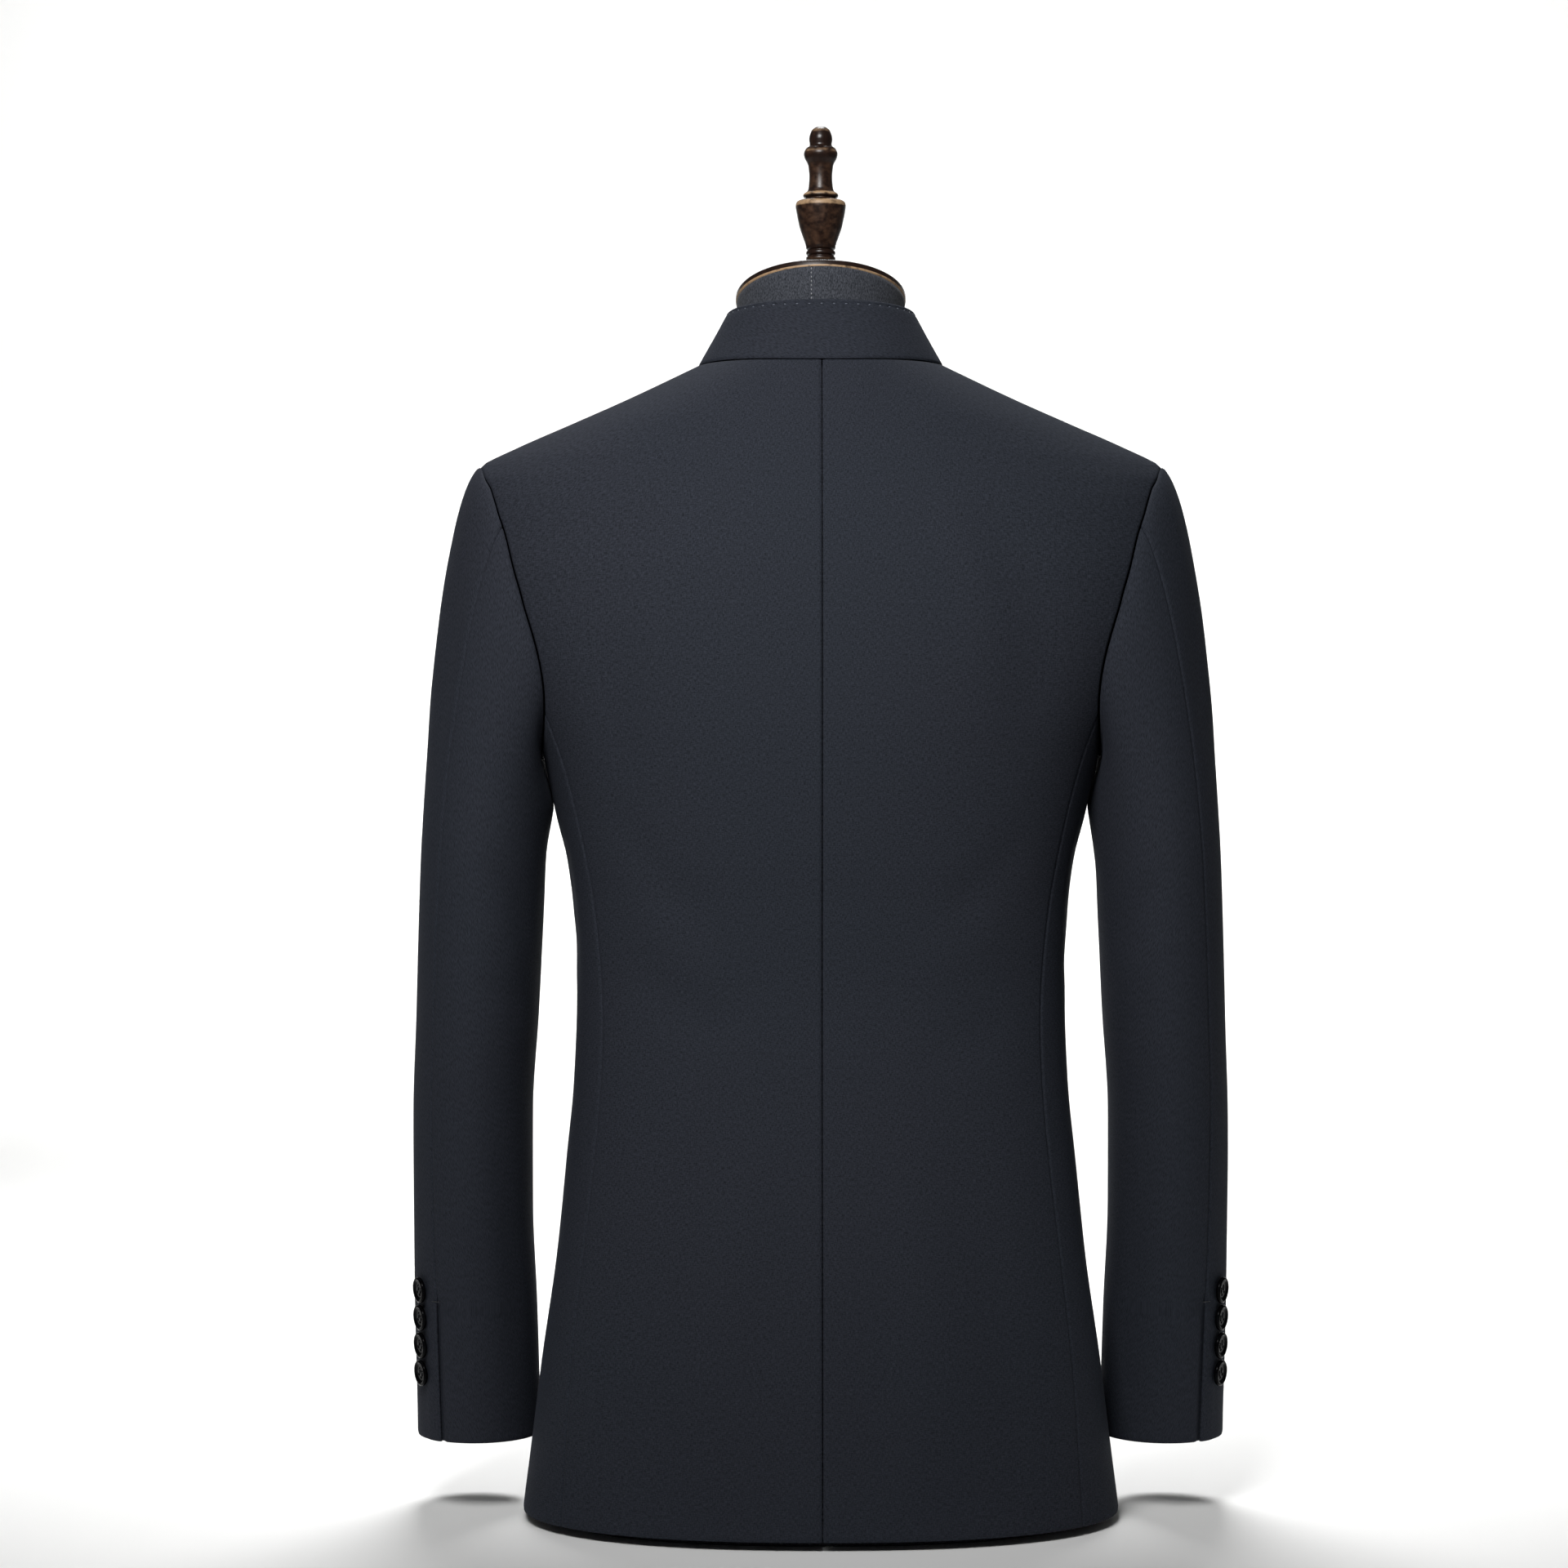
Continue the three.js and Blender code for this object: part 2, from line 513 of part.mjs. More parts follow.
/** Where a button sits on the left cuff. */
function cuffButtonPlace(index) {
  const z = CUFF_BUTTON.lowest + CUFF_BUTTON.pitch * (CUFF_BUTTON.count - 1 - index);
  const along = 1 + (SLEEVE.top - z) / (SLEEVE.top - SLEEVE.cuff);
  const angle = radians(CUFF_BUTTON.angle);
  const at = sleevePoint(angle, along, BUTTON_STANDOFF);
  return { at, facing: sleevePoint(angle, along, BUTTON_STANDOFF + 1).sub(at) };
}

// ---------------------------------------------------------------- dress form

const capSlope = Math.tan(radians(CAP.tilt));
const capUnderside = (y) => CAP.height + y * capSlope;
const capTop = (y) => capUnderside(y) + CAP.thickness / Math.cos(radians(CAP.tilt));

function formTorso() {
  const levels = [0, 50, 101, 164, 230, 280, 330, 390, 448, 486, 525, 563, 597, 635, 660, 672, 684, 700, 716, 731.5, 742];
  const angles = shares(FORM_COLUMNS).slice(0, -1).map((share) => share * 2 * Math.PI);
  const rings = levels.map((z) => angles.map((angle) => form.point(angle, z)));
  const column = { side: NECK_COLUMN.side, back: NECK_COLUMN.depth, front: NECK_COLUMN.depth, squareness: 2 };
  for (const share of [0, 0.5, 1]) {
    rings.push(angles.map((angle) => {
      const reach = sectionRadius(column, angle);
      const y = reach * Math.cos(angle);
      const z = mix(NECK_COLUMN.levelTop, capUnderside(y) - SEAM_GAP, share);
      return new THREE.Vector3(reach * Math.sin(angle), y, z);
    }));
  }
  return loft(rings);
}

/** Flat oval cap with rounded edges, its underside on the origin's level. */
function neckCap() {
  const edge = 1.6;
  const profile = [
    [0, 0], [1, 0, -edge], [1, edge], [1, CAP.thickness - edge], [1, CAP.thickness, -edge], [0, CAP.thickness],
  ].map(([share, height, inset = 0]) => new THREE.Vector2(CAP.side * share + inset, height));
  const cap = new THREE.LatheGeometry(profile, FORM_COLUMNS).rotateX(Math.PI / 2);
  return cap.scale(1, CAP.depth / CAP.side, 1);
}

/** Turned finial whose foot is cut to the slope of the cap. */
function finialGeometry() {
  const profile = [{ radius: 0, z: FINIAL_PROFILE[0].z }, ...FINIAL_PROFILE, { radius: 0, z: FINIAL_TIP }];
  const turned = new THREE.LatheGeometry(
    profile.map(({ radius, z }) => new THREE.Vector2(radius, z)), TURNED_SIDES,
  ).rotateX(Math.PI / 2);
  const places = turned.getAttribute('position');
  for (let i = 0; i < places.count; i += 1) {
    if (places.getZ(i) < FINIAL_PROFILE[0].z + 1) places.setZ(i, capTop(places.getY(i)) + SEAM_GAP);
  }
  return turned;
}

// ---------------------------------------------------------------- finishes

const finish = (color, roughness, metalness = 0) => new THREE.MeshStandardMaterial({ color, roughness, metalness });

const WORSTED = () => finish(0x282c36, 0.85);
const RESIN = () => finish(0x0c0c0e, 0.18);
const FORM_CLOTH = () => finish(0x3a3b3f, 0.9);
const LACQUERED_WOOD = () => finish(0x1e1613, 0.35);

// ---------------------------------------------------------------- assembly

const model = new THREE.Group();

function addMesh(name, geometry, material, parent = model) {
  const mesh = new THREE.Mesh(geometry, material);
  mesh.name = name;
  parent.add(mesh);
  return mesh;
}

/** Adds the same wall on the wearer's left and, mirrored, on the right. */
function addPair(name, { outer, inner }, nameFor = (side) => `${name}_${side}`) {
  addMesh(nameFor('left'), clothWall(outer, inner), WORSTED());
  addMesh(nameFor('right'), clothWall(mirrored(outer), mirrored(inner)), WORSTED());
}

/** A button on its own turned seat, facing away from the cloth. */
function addButton(name, size, { at, facing }, side = 1) {
  const seat = new THREE.Group();
  seat.position.set(at.x * side, at.y, at.z);
  const outwards = new THREE.Vector3(facing.x * side, facing.y, facing.z).normalize();
  seat.quaternion.setFromUnitVectors(new THREE.Vector3(0, 0, 1), outwards);
  model.add(seat);
  addMesh(name, buttonGeometry(size), RESIN(), seat);
}

function addJacketBody() {
  addPair('back', backPanel());
  addPair('side', sidePanel());
  const over = frontPanel('over');
  const under = frontPanel('under');
  addMesh('front_left', clothWall(over.outer, over.inner), WORSTED());
  addMesh('front_right', clothWall(mirrored(under.outer), mirrored(under.inner)), WORSTED());
  const collar = standCollar();
  addMesh('stand_collar', clothWall(collar.outer, collar.inner), WORSTED());
  for (const flap of FLAPS) addPair(flap.name, pocketFlap(flap));
  for (let i = 0; i < FRONT_BUTTON.count; i += 1) {
    addButton(`front_button_${i + 1}`, FRONT_BUTTON, frontButtonPlace(i));
  }
}

function addSleeves() {
  for (const half of ['top', 'under']) addPair('sleeve', sleevePiece(half), (side) => `sleeve_${side}_${half}`);
  for (const [side, sign] of [['left', 1], ['right', -1]]) {
    for (let i = 0; i < CUFF_BUTTON.count; i += 1) {
      addButton(`cuff_button_${side}_${i + 1}`, CUFF_BUTTON, cuffButtonPlace(i), sign);
    }
  }
}

function addDressForm() {
  addMesh('form_torso', formTorso(), FORM_CLOTH());
  const tilted = new THREE.Group();
  tilted.position.z = CAP.height;
  tilted.rotation.x = radians(CAP.tilt);
  model.add(tilted);
  addMesh('neck_cap', neckCap(), LACQUERED_WOOD(), tilted);
  addMesh('finial', finialGeometry(), LACQUERED_WOOD());
}

addJacketBody();
addSleeves();
addDressForm();

export default model;
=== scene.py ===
# %% [markdown]
# # A zhongshan jacket on a dress form
#
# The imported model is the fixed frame: it says where each cut piece lies and how big it is. This script
# dresses that frame. Each panel becomes a thin cloth shell on the form of its solid, with seams, soft
# creases, stitching and buttons, and the form gets its cover, its wooden cap and its turned finial.
# Everything is in metres, +Z up. The wearer's front faces -Y and the wearer's left is +X.

# %% Load the frame
import math

import bpy
import numpy as np
from mathutils import Matrix, Vector


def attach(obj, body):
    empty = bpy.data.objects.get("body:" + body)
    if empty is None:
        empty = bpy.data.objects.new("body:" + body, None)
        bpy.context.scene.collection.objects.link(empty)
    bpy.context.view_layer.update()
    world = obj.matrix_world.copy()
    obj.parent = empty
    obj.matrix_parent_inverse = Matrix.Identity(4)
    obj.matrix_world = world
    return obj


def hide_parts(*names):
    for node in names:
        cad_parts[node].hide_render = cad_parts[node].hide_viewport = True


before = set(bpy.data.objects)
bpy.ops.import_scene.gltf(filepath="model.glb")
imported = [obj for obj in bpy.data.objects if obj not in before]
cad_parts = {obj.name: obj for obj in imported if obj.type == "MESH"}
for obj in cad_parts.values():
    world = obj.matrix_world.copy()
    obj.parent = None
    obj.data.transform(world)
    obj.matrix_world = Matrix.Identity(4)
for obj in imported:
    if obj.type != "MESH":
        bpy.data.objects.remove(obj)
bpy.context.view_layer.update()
MM = 0.001


def added(name, data):
    """A new object with this data, linked to the scene."""
    thing = bpy.data.objects.new(name, data)
    bpy.context.scene.collection.objects.link(thing)
    return thing


def mesh_object(name, points, faces):
    """A smooth-shaded object from points in millimetres and faces."""
    mesh = bpy.data.meshes.new(name)
    mesh.from_pydata((np.asarray(points) * MM).tolist(), [], faces)
    mesh.polygons.foreach_set("use_smooth", [True] * len(faces))
    mesh.update()
    return added(name, mesh)


# %% [markdown]
# ## Camera
#
# The jacket is seen from straight behind, from two and a half metres away, with a long lens. A long
# lens keeps the shoulders and the hem in proportion, as a catalogue picture does.

# %% Camera
camera = added("camera", bpy.data.cameras.new("camera"))
camera.data.lens = 89.3
camera.data.sensor_width = 36
camera.location = (0.0236, 2.5, 0.469)
camera.rotation_euler = (math.radians(90), 0, math.radians(180))
bpy.context.scene.camera = camera
bpy.context.scene.view_settings.view_transform = "Standard"
print("camera:", tuple(round(v, 3) for v in camera.location), "lens", camera.data.lens)

# %% [markdown]
# ## The surface that the cloth lies on
#
# A tailor's form is described by its cross-sections: how wide it is at the side, how deep behind and in
# front, and how square its corners are. A smooth curve through each column of the table gives a section
# at any height, and the section gives a point at any angle from the centre back.

# %% Sections of the jacket, in millimetres
JACKET_SECTIONS = np.array([
    # height, half-width, depth behind, depth in front, squareness
    (0, 191.5, 128.5, 124, 2.3), (38, 187, 127, 123, 2.3), (101, 180, 124, 121, 2.3),
    (164, 171, 118, 117, 2.28), (230, 163.3, 108, 111, 2.25), (280, 158.4, 101.2, 108.4, 2.25),
    (330, 156.6, 98, 107, 2.25), (390, 158.8, 103, 110.5, 2.28), (420, 162.4, 107.4, 114.4, 2.3),
    (448, 169.3, 111, 118, 2.3), (486, 178, 115, 123, 2.35), (511, 188, 116.5, 125, 2.4),
    (538, 203, 117, 125, 2.4), (563, 213.5, 116.5, 122, 2.4), (597, 222, 114, 114.5, 2.35),
    (635, 229, 108, 101, 2.12), (660, 229, 102.5, 89, 1.96), (672, 219.5, 99.8, 83, 1.92),
    (684, 196, 96.5, 77, 1.92), (700, 158.8, 92.5, 70, 1.98), (716, 121.5, 87.5, 63.5, 2.06),
    (731.5, 88, 81.8, 57.5, 2.15), (742, 66, 77.5, 53.5, 2.2),
])
RIDGE_WIDTH, RIDGE_SOFTNESS = 0.35, 24   # the shoulder ridge is sharp only near the side


def curve_through(stations, values):
    """A smooth curve through a column of a table, which never overshoots between two rows."""
    stations, values = np.asarray(stations, float), np.asarray(values, float)
    slopes = np.diff(values) / np.diff(stations)
    before, after = slopes[:-1], slopes[1:]
    product = before * after
    inner = np.where(product <= 0, 0, 2 * product / np.where(product <= 0, 1, before + after))
    tangents = np.concatenate([slopes[:1], inner, slopes[-1:]])

    def at(x):
        x = np.asarray(x, float)
        i = np.clip(np.searchsorted(stations, x, side="right") - 1, 0, len(slopes) - 1)
        step = stations[i + 1] - stations[i]
        raw = (x - stations[i]) / step
        t = np.clip(raw, 0, 1)
        inside = (values[i] * (1 + 2 * t) * (1 - t) ** 2 + values[i + 1] * t * t * (3 - 2 * t)
                  + step * (tangents[i] * t * (1 - t) ** 2 + tangents[i + 1] * t * t * (t - 1)))
        return inside + step * (np.minimum(raw, 0) * tangents[i] + np.maximum(raw - 1, 0) * tangents[i + 1])

    return at


def points_of(*coordinates):
    """Coordinates side by side. Each may be a number, a row or a whole grid."""
    return np.stack(np.broadcast_arrays(*coordinates), axis=-1)


def at_reach(reach, angle, z):
    """Points at a distance from the axis, an angle from straight behind and a height."""
    return points_of(reach * np.sin(angle), reach * np.cos(angle), z)


def mix(a, b, share):
    return a + (b - a) * share


def smooth_step(x, low, high):
    t = np.clip((x - low) / (high - low), 0, 1)
    return t * t * (3 - 2 * t)


def section_radius(side, back, front, squareness, angle):
    """Distance from the middle of a rounded section to its edge, at an angle from straight behind."""
    across = np.abs(np.sin(angle)) / side
    along = np.abs(np.cos(angle)) / np.where(np.cos(angle) > 0, back, front)
    return (across ** squareness + along ** squareness) ** (-1 / squareness)


class Surface:
    """An upright surface through a table of sections, read by angle from the centre back and height."""

    def __init__(self, table):
        self.side, self.back, self.front, self.squareness = (
            curve_through(table[:, 0], table[:, column]) for column in (1, 2, 3, 4))

    def radius(self, angle, z):
        softened = sum(self.side(z + share * RIDGE_SOFTNESS) for share in (-1, -0.5, 0, 0.5, 1)) / 5
        away = smooth_step(np.abs(np.cos(angle)), 0, RIDGE_WIDTH)
        side = mix(self.side(z), softened, away)
        return section_radius(side, self.back(z), self.front(z), self.squareness(z), angle)

    def on(self, angle, z):
        angle, z = np.broadcast_arrays(np.asarray(angle, float), np.asarray(z, float))
        return at_reach(self.radius(angle, z), angle, z)

    def normal(self, angle, z):
        up = self.on(angle, z + 0.5) - self.on(angle, z - 0.5)
        around = self.on(angle + 0.002, z) - self.on(angle - 0.002, z)
        return unit(np.cross(up, around))

    def point(self, angle, z, lift=0):
        return self.on(angle, z) + self.normal(angle, z) * np.asarray(lift, float)[..., None]


def unit(vectors):
    return vectors / np.linalg.norm(vectors, axis=-1, keepdims=True)


def last_true(low, high, test):
    """Halves a range until it holds only the place where a test stops being true."""
    for _ in range(34):
        middle = (low + high) / 2
        holds = test(middle)
        low, high = np.where(holds, middle, low), np.where(holds, high, middle)
    return low


jacket = Surface(JACKET_SECTIONS)
print("jacket at the waist:", np.round(jacket.on([0, math.pi / 2], 330), 1).tolist())

# %% [markdown]
# ## Neckline and armholes
#
# Two closed lines divide the cloth. The neckline is where the body meets an oval round the neck, and the
# armhole is an egg-shaped line on the side of the body, flatter at its top where the shoulder is.

# %% Neckline and armhole lines
HEM_HEIGHT = 6
NECK = {"side": 79, "back": 81, "front": 88, "squareness": 2.2}
ARMHOLE = {"height": 579, "rise": 93, "middle": 1, "reach": 70, "lower_bulge": 0.22, "flat_top": 0.85}
SEAM_TURN = 135          # degrees round the armhole from its top to a side seam
HEM_SEAMS = {"back": 65, "front": 110}
GAP = 0.3                # between two finished pieces along a seam

neckline_angles = np.linspace(0, math.pi, 361)
neckline_heights = last_true(
    np.full(361, 600.0), np.full(361, 745.0),
    lambda z: jacket.radius(neckline_angles, z) > section_radius(angle=neckline_angles, **NECK))


def neckline_height(angle):
    return np.interp(np.abs(angle), neckline_angles, neckline_heights)


def armhole_seam(turn):
    """(angle, height) on the left armhole seam, at degrees from its top towards the back."""
    turn = np.asarray(turn, float)
    up, back = np.cos(np.radians(turn)), np.sin(np.radians(turn))
    power = np.where(up > 0, ARMHOLE["flat_top"], 1)
    z = ARMHOLE["height"] + ARMHOLE["rise"] * np.sign(up) * np.abs(up) ** power
    y = (ARMHOLE["middle"] + ARMHOLE["reach"] * np.sign(back) * np.abs(back) ** power
         * (1 - ARMHOLE["lower_bulge"] * up))
    angle = last_true(np.zeros_like(z), np.full_like(z, math.pi),
                      lambda a: jacket.radius(a, z) * np.cos(a) > y)
    return angle, z


print("neckline from", round(float(neckline_heights[-1]), 1), "in front to",
      round(float(neckline_heights[0]), 1), "behind")

# %% [markdown]
# ## Cloth pieces
#
# Every cut piece is a grid of points: rows run up the cloth and columns run across it. Rows and columns
# crowd together at the edges, because there the cloth turns in to a seam or a hem within two or three
# millimetres. A second grid just inside the first gives the cloth its thickness. The grid also carries a
# UV map in metres along the cloth, so that the weave follows the piece.

# %% Grids of cloth
CLOTH = 1.3              # one finished layer of worsted with its interlining
SEAMED_EDGE = (0.8, 1.0)     # how deep a seam lies and how wide it is
FOLDED_EDGE = (0.45, 1.2)    # the same at a hem or a front edge
CENTRE_GAP = 0.7         # the centre back seam is pressed open and shows most
EDGE_STEPS = np.array([0, 0.3, 0.7, 1.2, 1.9, 3, 4.8, 7])
SHORT_ROW = 40           # a row shorter than this has closer edge steps


def crowded(lengths, spacing):
    """Shares along each row, close together at both ends. One row of shares for each length."""
    lengths = np.atleast_1d(np.asarray(lengths, float))
    inner = max(int(round(lengths.max() / spacing)), 4)
    steps = EDGE_STEPS[None, :] * np.minimum(1, lengths[:, None] / SHORT_ROW)
    between = mix(steps[:, -1:], lengths[:, None] - steps[:, -1:], np.linspace(0, 1, inner + 1)[None, 1:-1])
    places = np.concatenate([steps, between, (lengths[:, None] - steps)[:, ::-1]], axis=1)
    return places / lengths[:, None]


def run_along(grid, axis):
    """Distance along a grid's rows (axis 1) or up its columns (axis 0), from its first line."""
    steps = np.linalg.norm(np.diff(grid, axis=axis), axis=-1)
    start = np.zeros_like(np.take(steps, [0], axis=axis))
    return np.concatenate([start, np.cumsum(steps, axis=axis)], axis=axis)


def from_edge(grid):
    """Shortest distance of each point of a grid from the line of its first column."""
    starts = grid[:-1, 0]
    steps = grid[1:, 0] - starts
    away = grid[:, :, None] - starts
    share = np.clip((away * steps).sum(axis=-1) / np.maximum((steps ** 2).sum(axis=-1), 1e-9), 0, 1)
    return np.linalg.norm(away - share[..., None] * steps, axis=-1).min(axis=-1)


def dip(distance, depth=SEAMED_EDGE[0], width=SEAMED_EDGE[1]):
    """How far cloth turns in beside an edge."""
    return -depth * np.exp(-((distance / width) ** 2))


def cloth_mesh(name, outer, inner, uv):
    """A closed wall between two grids of points in millimetres, as a smooth-shaded object."""
    rows, columns = outer.shape[:2]
    index = np.arange(2 * rows * columns).reshape(2, rows, columns)
    out, back = index

    def quads(a, b, c, d):
        return np.stack([a, b, c, d], axis=-1).reshape(-1, 4)

    faces = np.concatenate([
        quads(out[:-1, :-1], out[:-1, 1:], out[1:, 1:], out[1:, :-1]),
        quads(back[:-1, :-1], back[1:, :-1], back[1:, 1:], back[:-1, 1:]),
        quads(out[1:, -1], out[:-1, -1], back[:-1, -1], back[1:, -1]),
        quads(out[:-1, 0], out[1:, 0], back[1:, 0], back[:-1, 0]),
        quads(out[0, 1:], out[0, :-1], back[0, :-1], back[0, 1:]),
        quads(out[-1, :-1], out[-1, 1:], back[-1, 1:], back[-1, :-1]),
    ])
    points = np.concatenate([outer.reshape(-1, 3), inner.reshape(-1, 3)])
    a, b, c, d = (points[faces[:, i]] for i in range(4))
    volume = (a * (np.cross(b, c) + np.cross(c, d))).sum()
    if volume < 0:
        faces = faces[:, ::-1]
    thing = mesh_object(name, points, faces.tolist())
    places = np.concatenate([uv.reshape(-1, 2)] * 2) * MM
    layer = thing.data.uv_layers.new(name="cloth")
    layer.data.foreach_set("uv", places[faces.reshape(-1)].reshape(-1))
    return thing


def mirrored(grid):
    return grid * np.array([-1, 1, 1])


def cut_size(widths, heights):
    """Width, height and area of a flat piece, from its rows' widths and its columns' heights."""
    return float(widths.max()), float(heights.max()), float(widths.mean() * heights.mean())


# %% [markdown]
# ## Creases
#
# A pressed worsted jacket on a form has hardly any folds. What it has are long shallow ones: beside the
# armholes, where the cloth has ease for the arms, above the waist, and over the seat where the skirt
# opens. Each is placed between two points of the cloth, with its own width and depth. A minus
# depth is a trough and a plus one a ridge, and both fade out at their ends.

# %% Soft creases
ACROSS = 2.6             # millimetres along the cloth for a degree round the body
CREASE_DEPTH = 1.5       # deepens every fold of the tables below
CREASE_BOW = 0.06        # how far a fold bows out, as a share of its length


def creases(across, up, table):
    """Sum of the soft folds of a table at places given in millimetres across and up the cloth."""
    total = np.zeros(np.broadcast(across, up).shape)
    for x0, z0, x1, z1, width, depth in table:
        length = math.hypot(x1 - x0, z1 - z0)
        right, upward = (x1 - x0) / length, (z1 - z0) / length
        run = (across - x0) * right + (up - z0) * upward
        bow = CREASE_BOW * length * np.sin(np.clip(run / length, 0, 1) * math.pi)
        off = (up - z0) * right - (across - x0) * upward - bow
        fade_in = smooth_step(run, -0.15 * length, 0.3 * length)
        fade_out = 1 - smooth_step(run, 0.65 * length, 1.15 * length)
        total += CREASE_DEPTH * depth * fade_in * fade_out * np.exp(-((off / width) ** 2))
    return total


# Each fold is x0, z0, x1, z1, width and depth. Here x is the angle from the centre back in millimetres.
BACK_CREASES = {
    "left": [(118, 655, 138, 470, 15, -1.5), (96, 640, 112, 520, 13, 0.8), (150, 455, 92, 375, 15, -0.9),
             (148, 395, 84, 340, 17, 0.8), (150, 345, 70, 316, 13, -0.7), (60, 250, 70, 20, 24, 1.2),
             (104, 235, 118, 15, 20, -1.1), (24, 200, 30, 30, 20, -0.6), (40, 715, 95, 690, 14, -0.5)],
    "right": [(121, 640, 136, 486, 16, -1.3), (94, 652, 110, 530, 14, 0.9), (152, 440, 98, 386, 14, -0.8),
              (146, 380, 78, 352, 18, 0.7), (152, 322, 86, 300, 14, -0.8), (66, 230, 62, 15, 22, 1.0),
              (100, 255, 122, 20, 22, -1.2), (28, 170, 22, 15, 22, -0.5), (44, 712, 90, 693, 15, -0.4)],
}
FRONT_CREASES = {
    "left": [(338, 640, 322, 500, 17, -1.4), (372, 640, 360, 520, 15, 0.9), (318, 430, 392, 372, 17, -0.9),
             (316, 365, 384, 336, 16, 0.8), (430, 300, 372, 262, 12, -0.6), (372, 180, 366, 20, 24, 1.1),
             (330, 200, 322, 15, 22, -1.2), (418, 170, 424, 30, 20, -0.6)],
    "right": [(336, 628, 324, 510, 16, -1.3), (368, 646, 356, 530, 16, 0.8), (320, 420, 396, 384, 16, -0.8),
              (318, 352, 376, 330, 18, 0.8), (432, 214, 380, 190, 12, -0.5), (376, 170, 374, 15, 22, 1.0),
              (328, 190, 318, 20, 24, -1.1), (414, 160, 420, 20, 22, -0.5)],
}
SIDE_CREASES = {
    "left": [(205, 480, 214, 330, 14, -0.9), (240, 470, 232, 350, 13, 0.7), (262, 400, 214, 356, 13, -0.7),
             (214, 230, 206, 20, 22, -0.9), (256, 240, 262, 15, 20, 0.8)],
    "right": [(210, 470, 216, 345, 15, -0.8), (244, 478, 236, 340, 14, 0.8), (258, 385, 218, 346, 14, -0.7),
              (210, 220, 204, 15, 20, -0.8), (260, 225, 264, 20, 22, 0.9)],
}
body_creases = (BACK_CREASES, FRONT_CREASES, SIDE_CREASES)
print("creases:", sum(len(rows) for table in body_creases for rows in table.values()))

# %% [markdown]
# ## Body panels
#
# The body is cut in six: two backs joined at the centre back, two sides under the arms, and two fronts
# that overlap. A panel's outer edge climbs the side seam, goes round the armhole and then runs along the
# shoulder seam to the neck, and its rows fan from there to the centre.

# %% Rows and panels
COARSE_SEAM = [0, 0.08, 0.19, 0.31, 0.4, 0.48, 0.56, 0.64, 0.72, 0.81, 0.91, 1]
LEVEL_ROWS, SEAM_TOP_ROW, TIP_ROW, TOP_ROW = 9, 11, 20, 25
TURN_STEP = 3            # degrees round the armhole between two rows
SHOULDER_SEAM = 140      # its length, near enough to space its rows
SIDE_NECK_HEIGHT = float(neckline_height(math.pi / 2))


def side_seam_angle(which, z):
    angle, top = armhole_seam(SEAM_TURN if which == "back" else -SEAM_TURN)
    return mix(math.radians(HEM_SEAMS[which]), angle, (z - HEM_HEIGHT) / (top - HEM_HEIGHT))


def seam_shares(height, spacing=7):
    """Shares up a seam, close together at the hem."""
    steps = EDGE_STEPS / height
    return np.concatenate([steps, np.linspace(steps[-1], 1, int(height / spacing))[1:]])


def panel_rows(which):
    """Edge angle and height of each row, with how far it has risen at the edge and at the centre."""
    sign = 1 if which == "back" else -1
    seam_top = float(armhole_seam(sign * SEAM_TURN)[1])
    level_top = mix(HEM_HEIGHT, seam_top, COARSE_SEAM[LEVEL_ROWS])
    shares = seam_shares(seam_top - HEM_HEIGHT)
    seam_z = mix(HEM_HEIGHT, seam_top, shares)
    seam_angle = side_seam_angle(which, seam_z)
    turns = np.arange(SEAM_TURN - TURN_STEP, -1, -TURN_STEP)
    hole_angle, hole_z = armhole_seam(sign * turns)
    rises = np.unique(np.concatenate([np.linspace(0, 1, 22)[1:-1], 1 - EDGE_STEPS[5::-1] / SHOULDER_SEAM]))
    top_z = mix(hole_z[-1], SIDE_NECK_HEIGHT, rises)
    angle = np.concatenate([seam_angle, hole_angle, np.full(len(rises), math.pi / 2)])
    z = np.concatenate([seam_z, hole_z, top_z])
    trim = np.concatenate([np.ones(len(shares)), np.zeros(len(turns) - 1), np.ones(len(rises) + 1)])
    angle -= sign * trim * GAP / 2 / jacket.radius(angle, z)
    order = np.concatenate([
        np.interp(shares, COARSE_SEAM, np.arange(SEAM_TOP_ROW + 1)),
        np.interp(-turns, [-SEAM_TURN, -120, 0], [SEAM_TOP_ROW, SEAM_TOP_ROW + 1, TIP_ROW]),
        mix(TIP_ROW, TOP_ROW, rises),
    ])
    edge_rise = (z - level_top) / (neckline_height(angle) - level_top)
    centre_rise = (order - LEVEL_ROWS) / (TOP_ROW - LEVEL_ROWS)
    return {"angle": angle[:, None], "z": z[:, None], "level_top": level_top,
            "edge_rise": edge_rise[:, None], "centre_rise": centre_rise[:, None]}


def row_height(rows, angle, share):
    """Height of a row at a share of the way in. The square keeps rows from crossing at the tip."""
    rise = mix(rows["edge_rise"], rows["centre_rise"], np.clip(share, 0, 1) ** 2)
    fanned = mix(rows["level_top"], neckline_height(angle), rise)
    return np.where(rows["edge_rise"] <= 0, rows["z"], fanned)


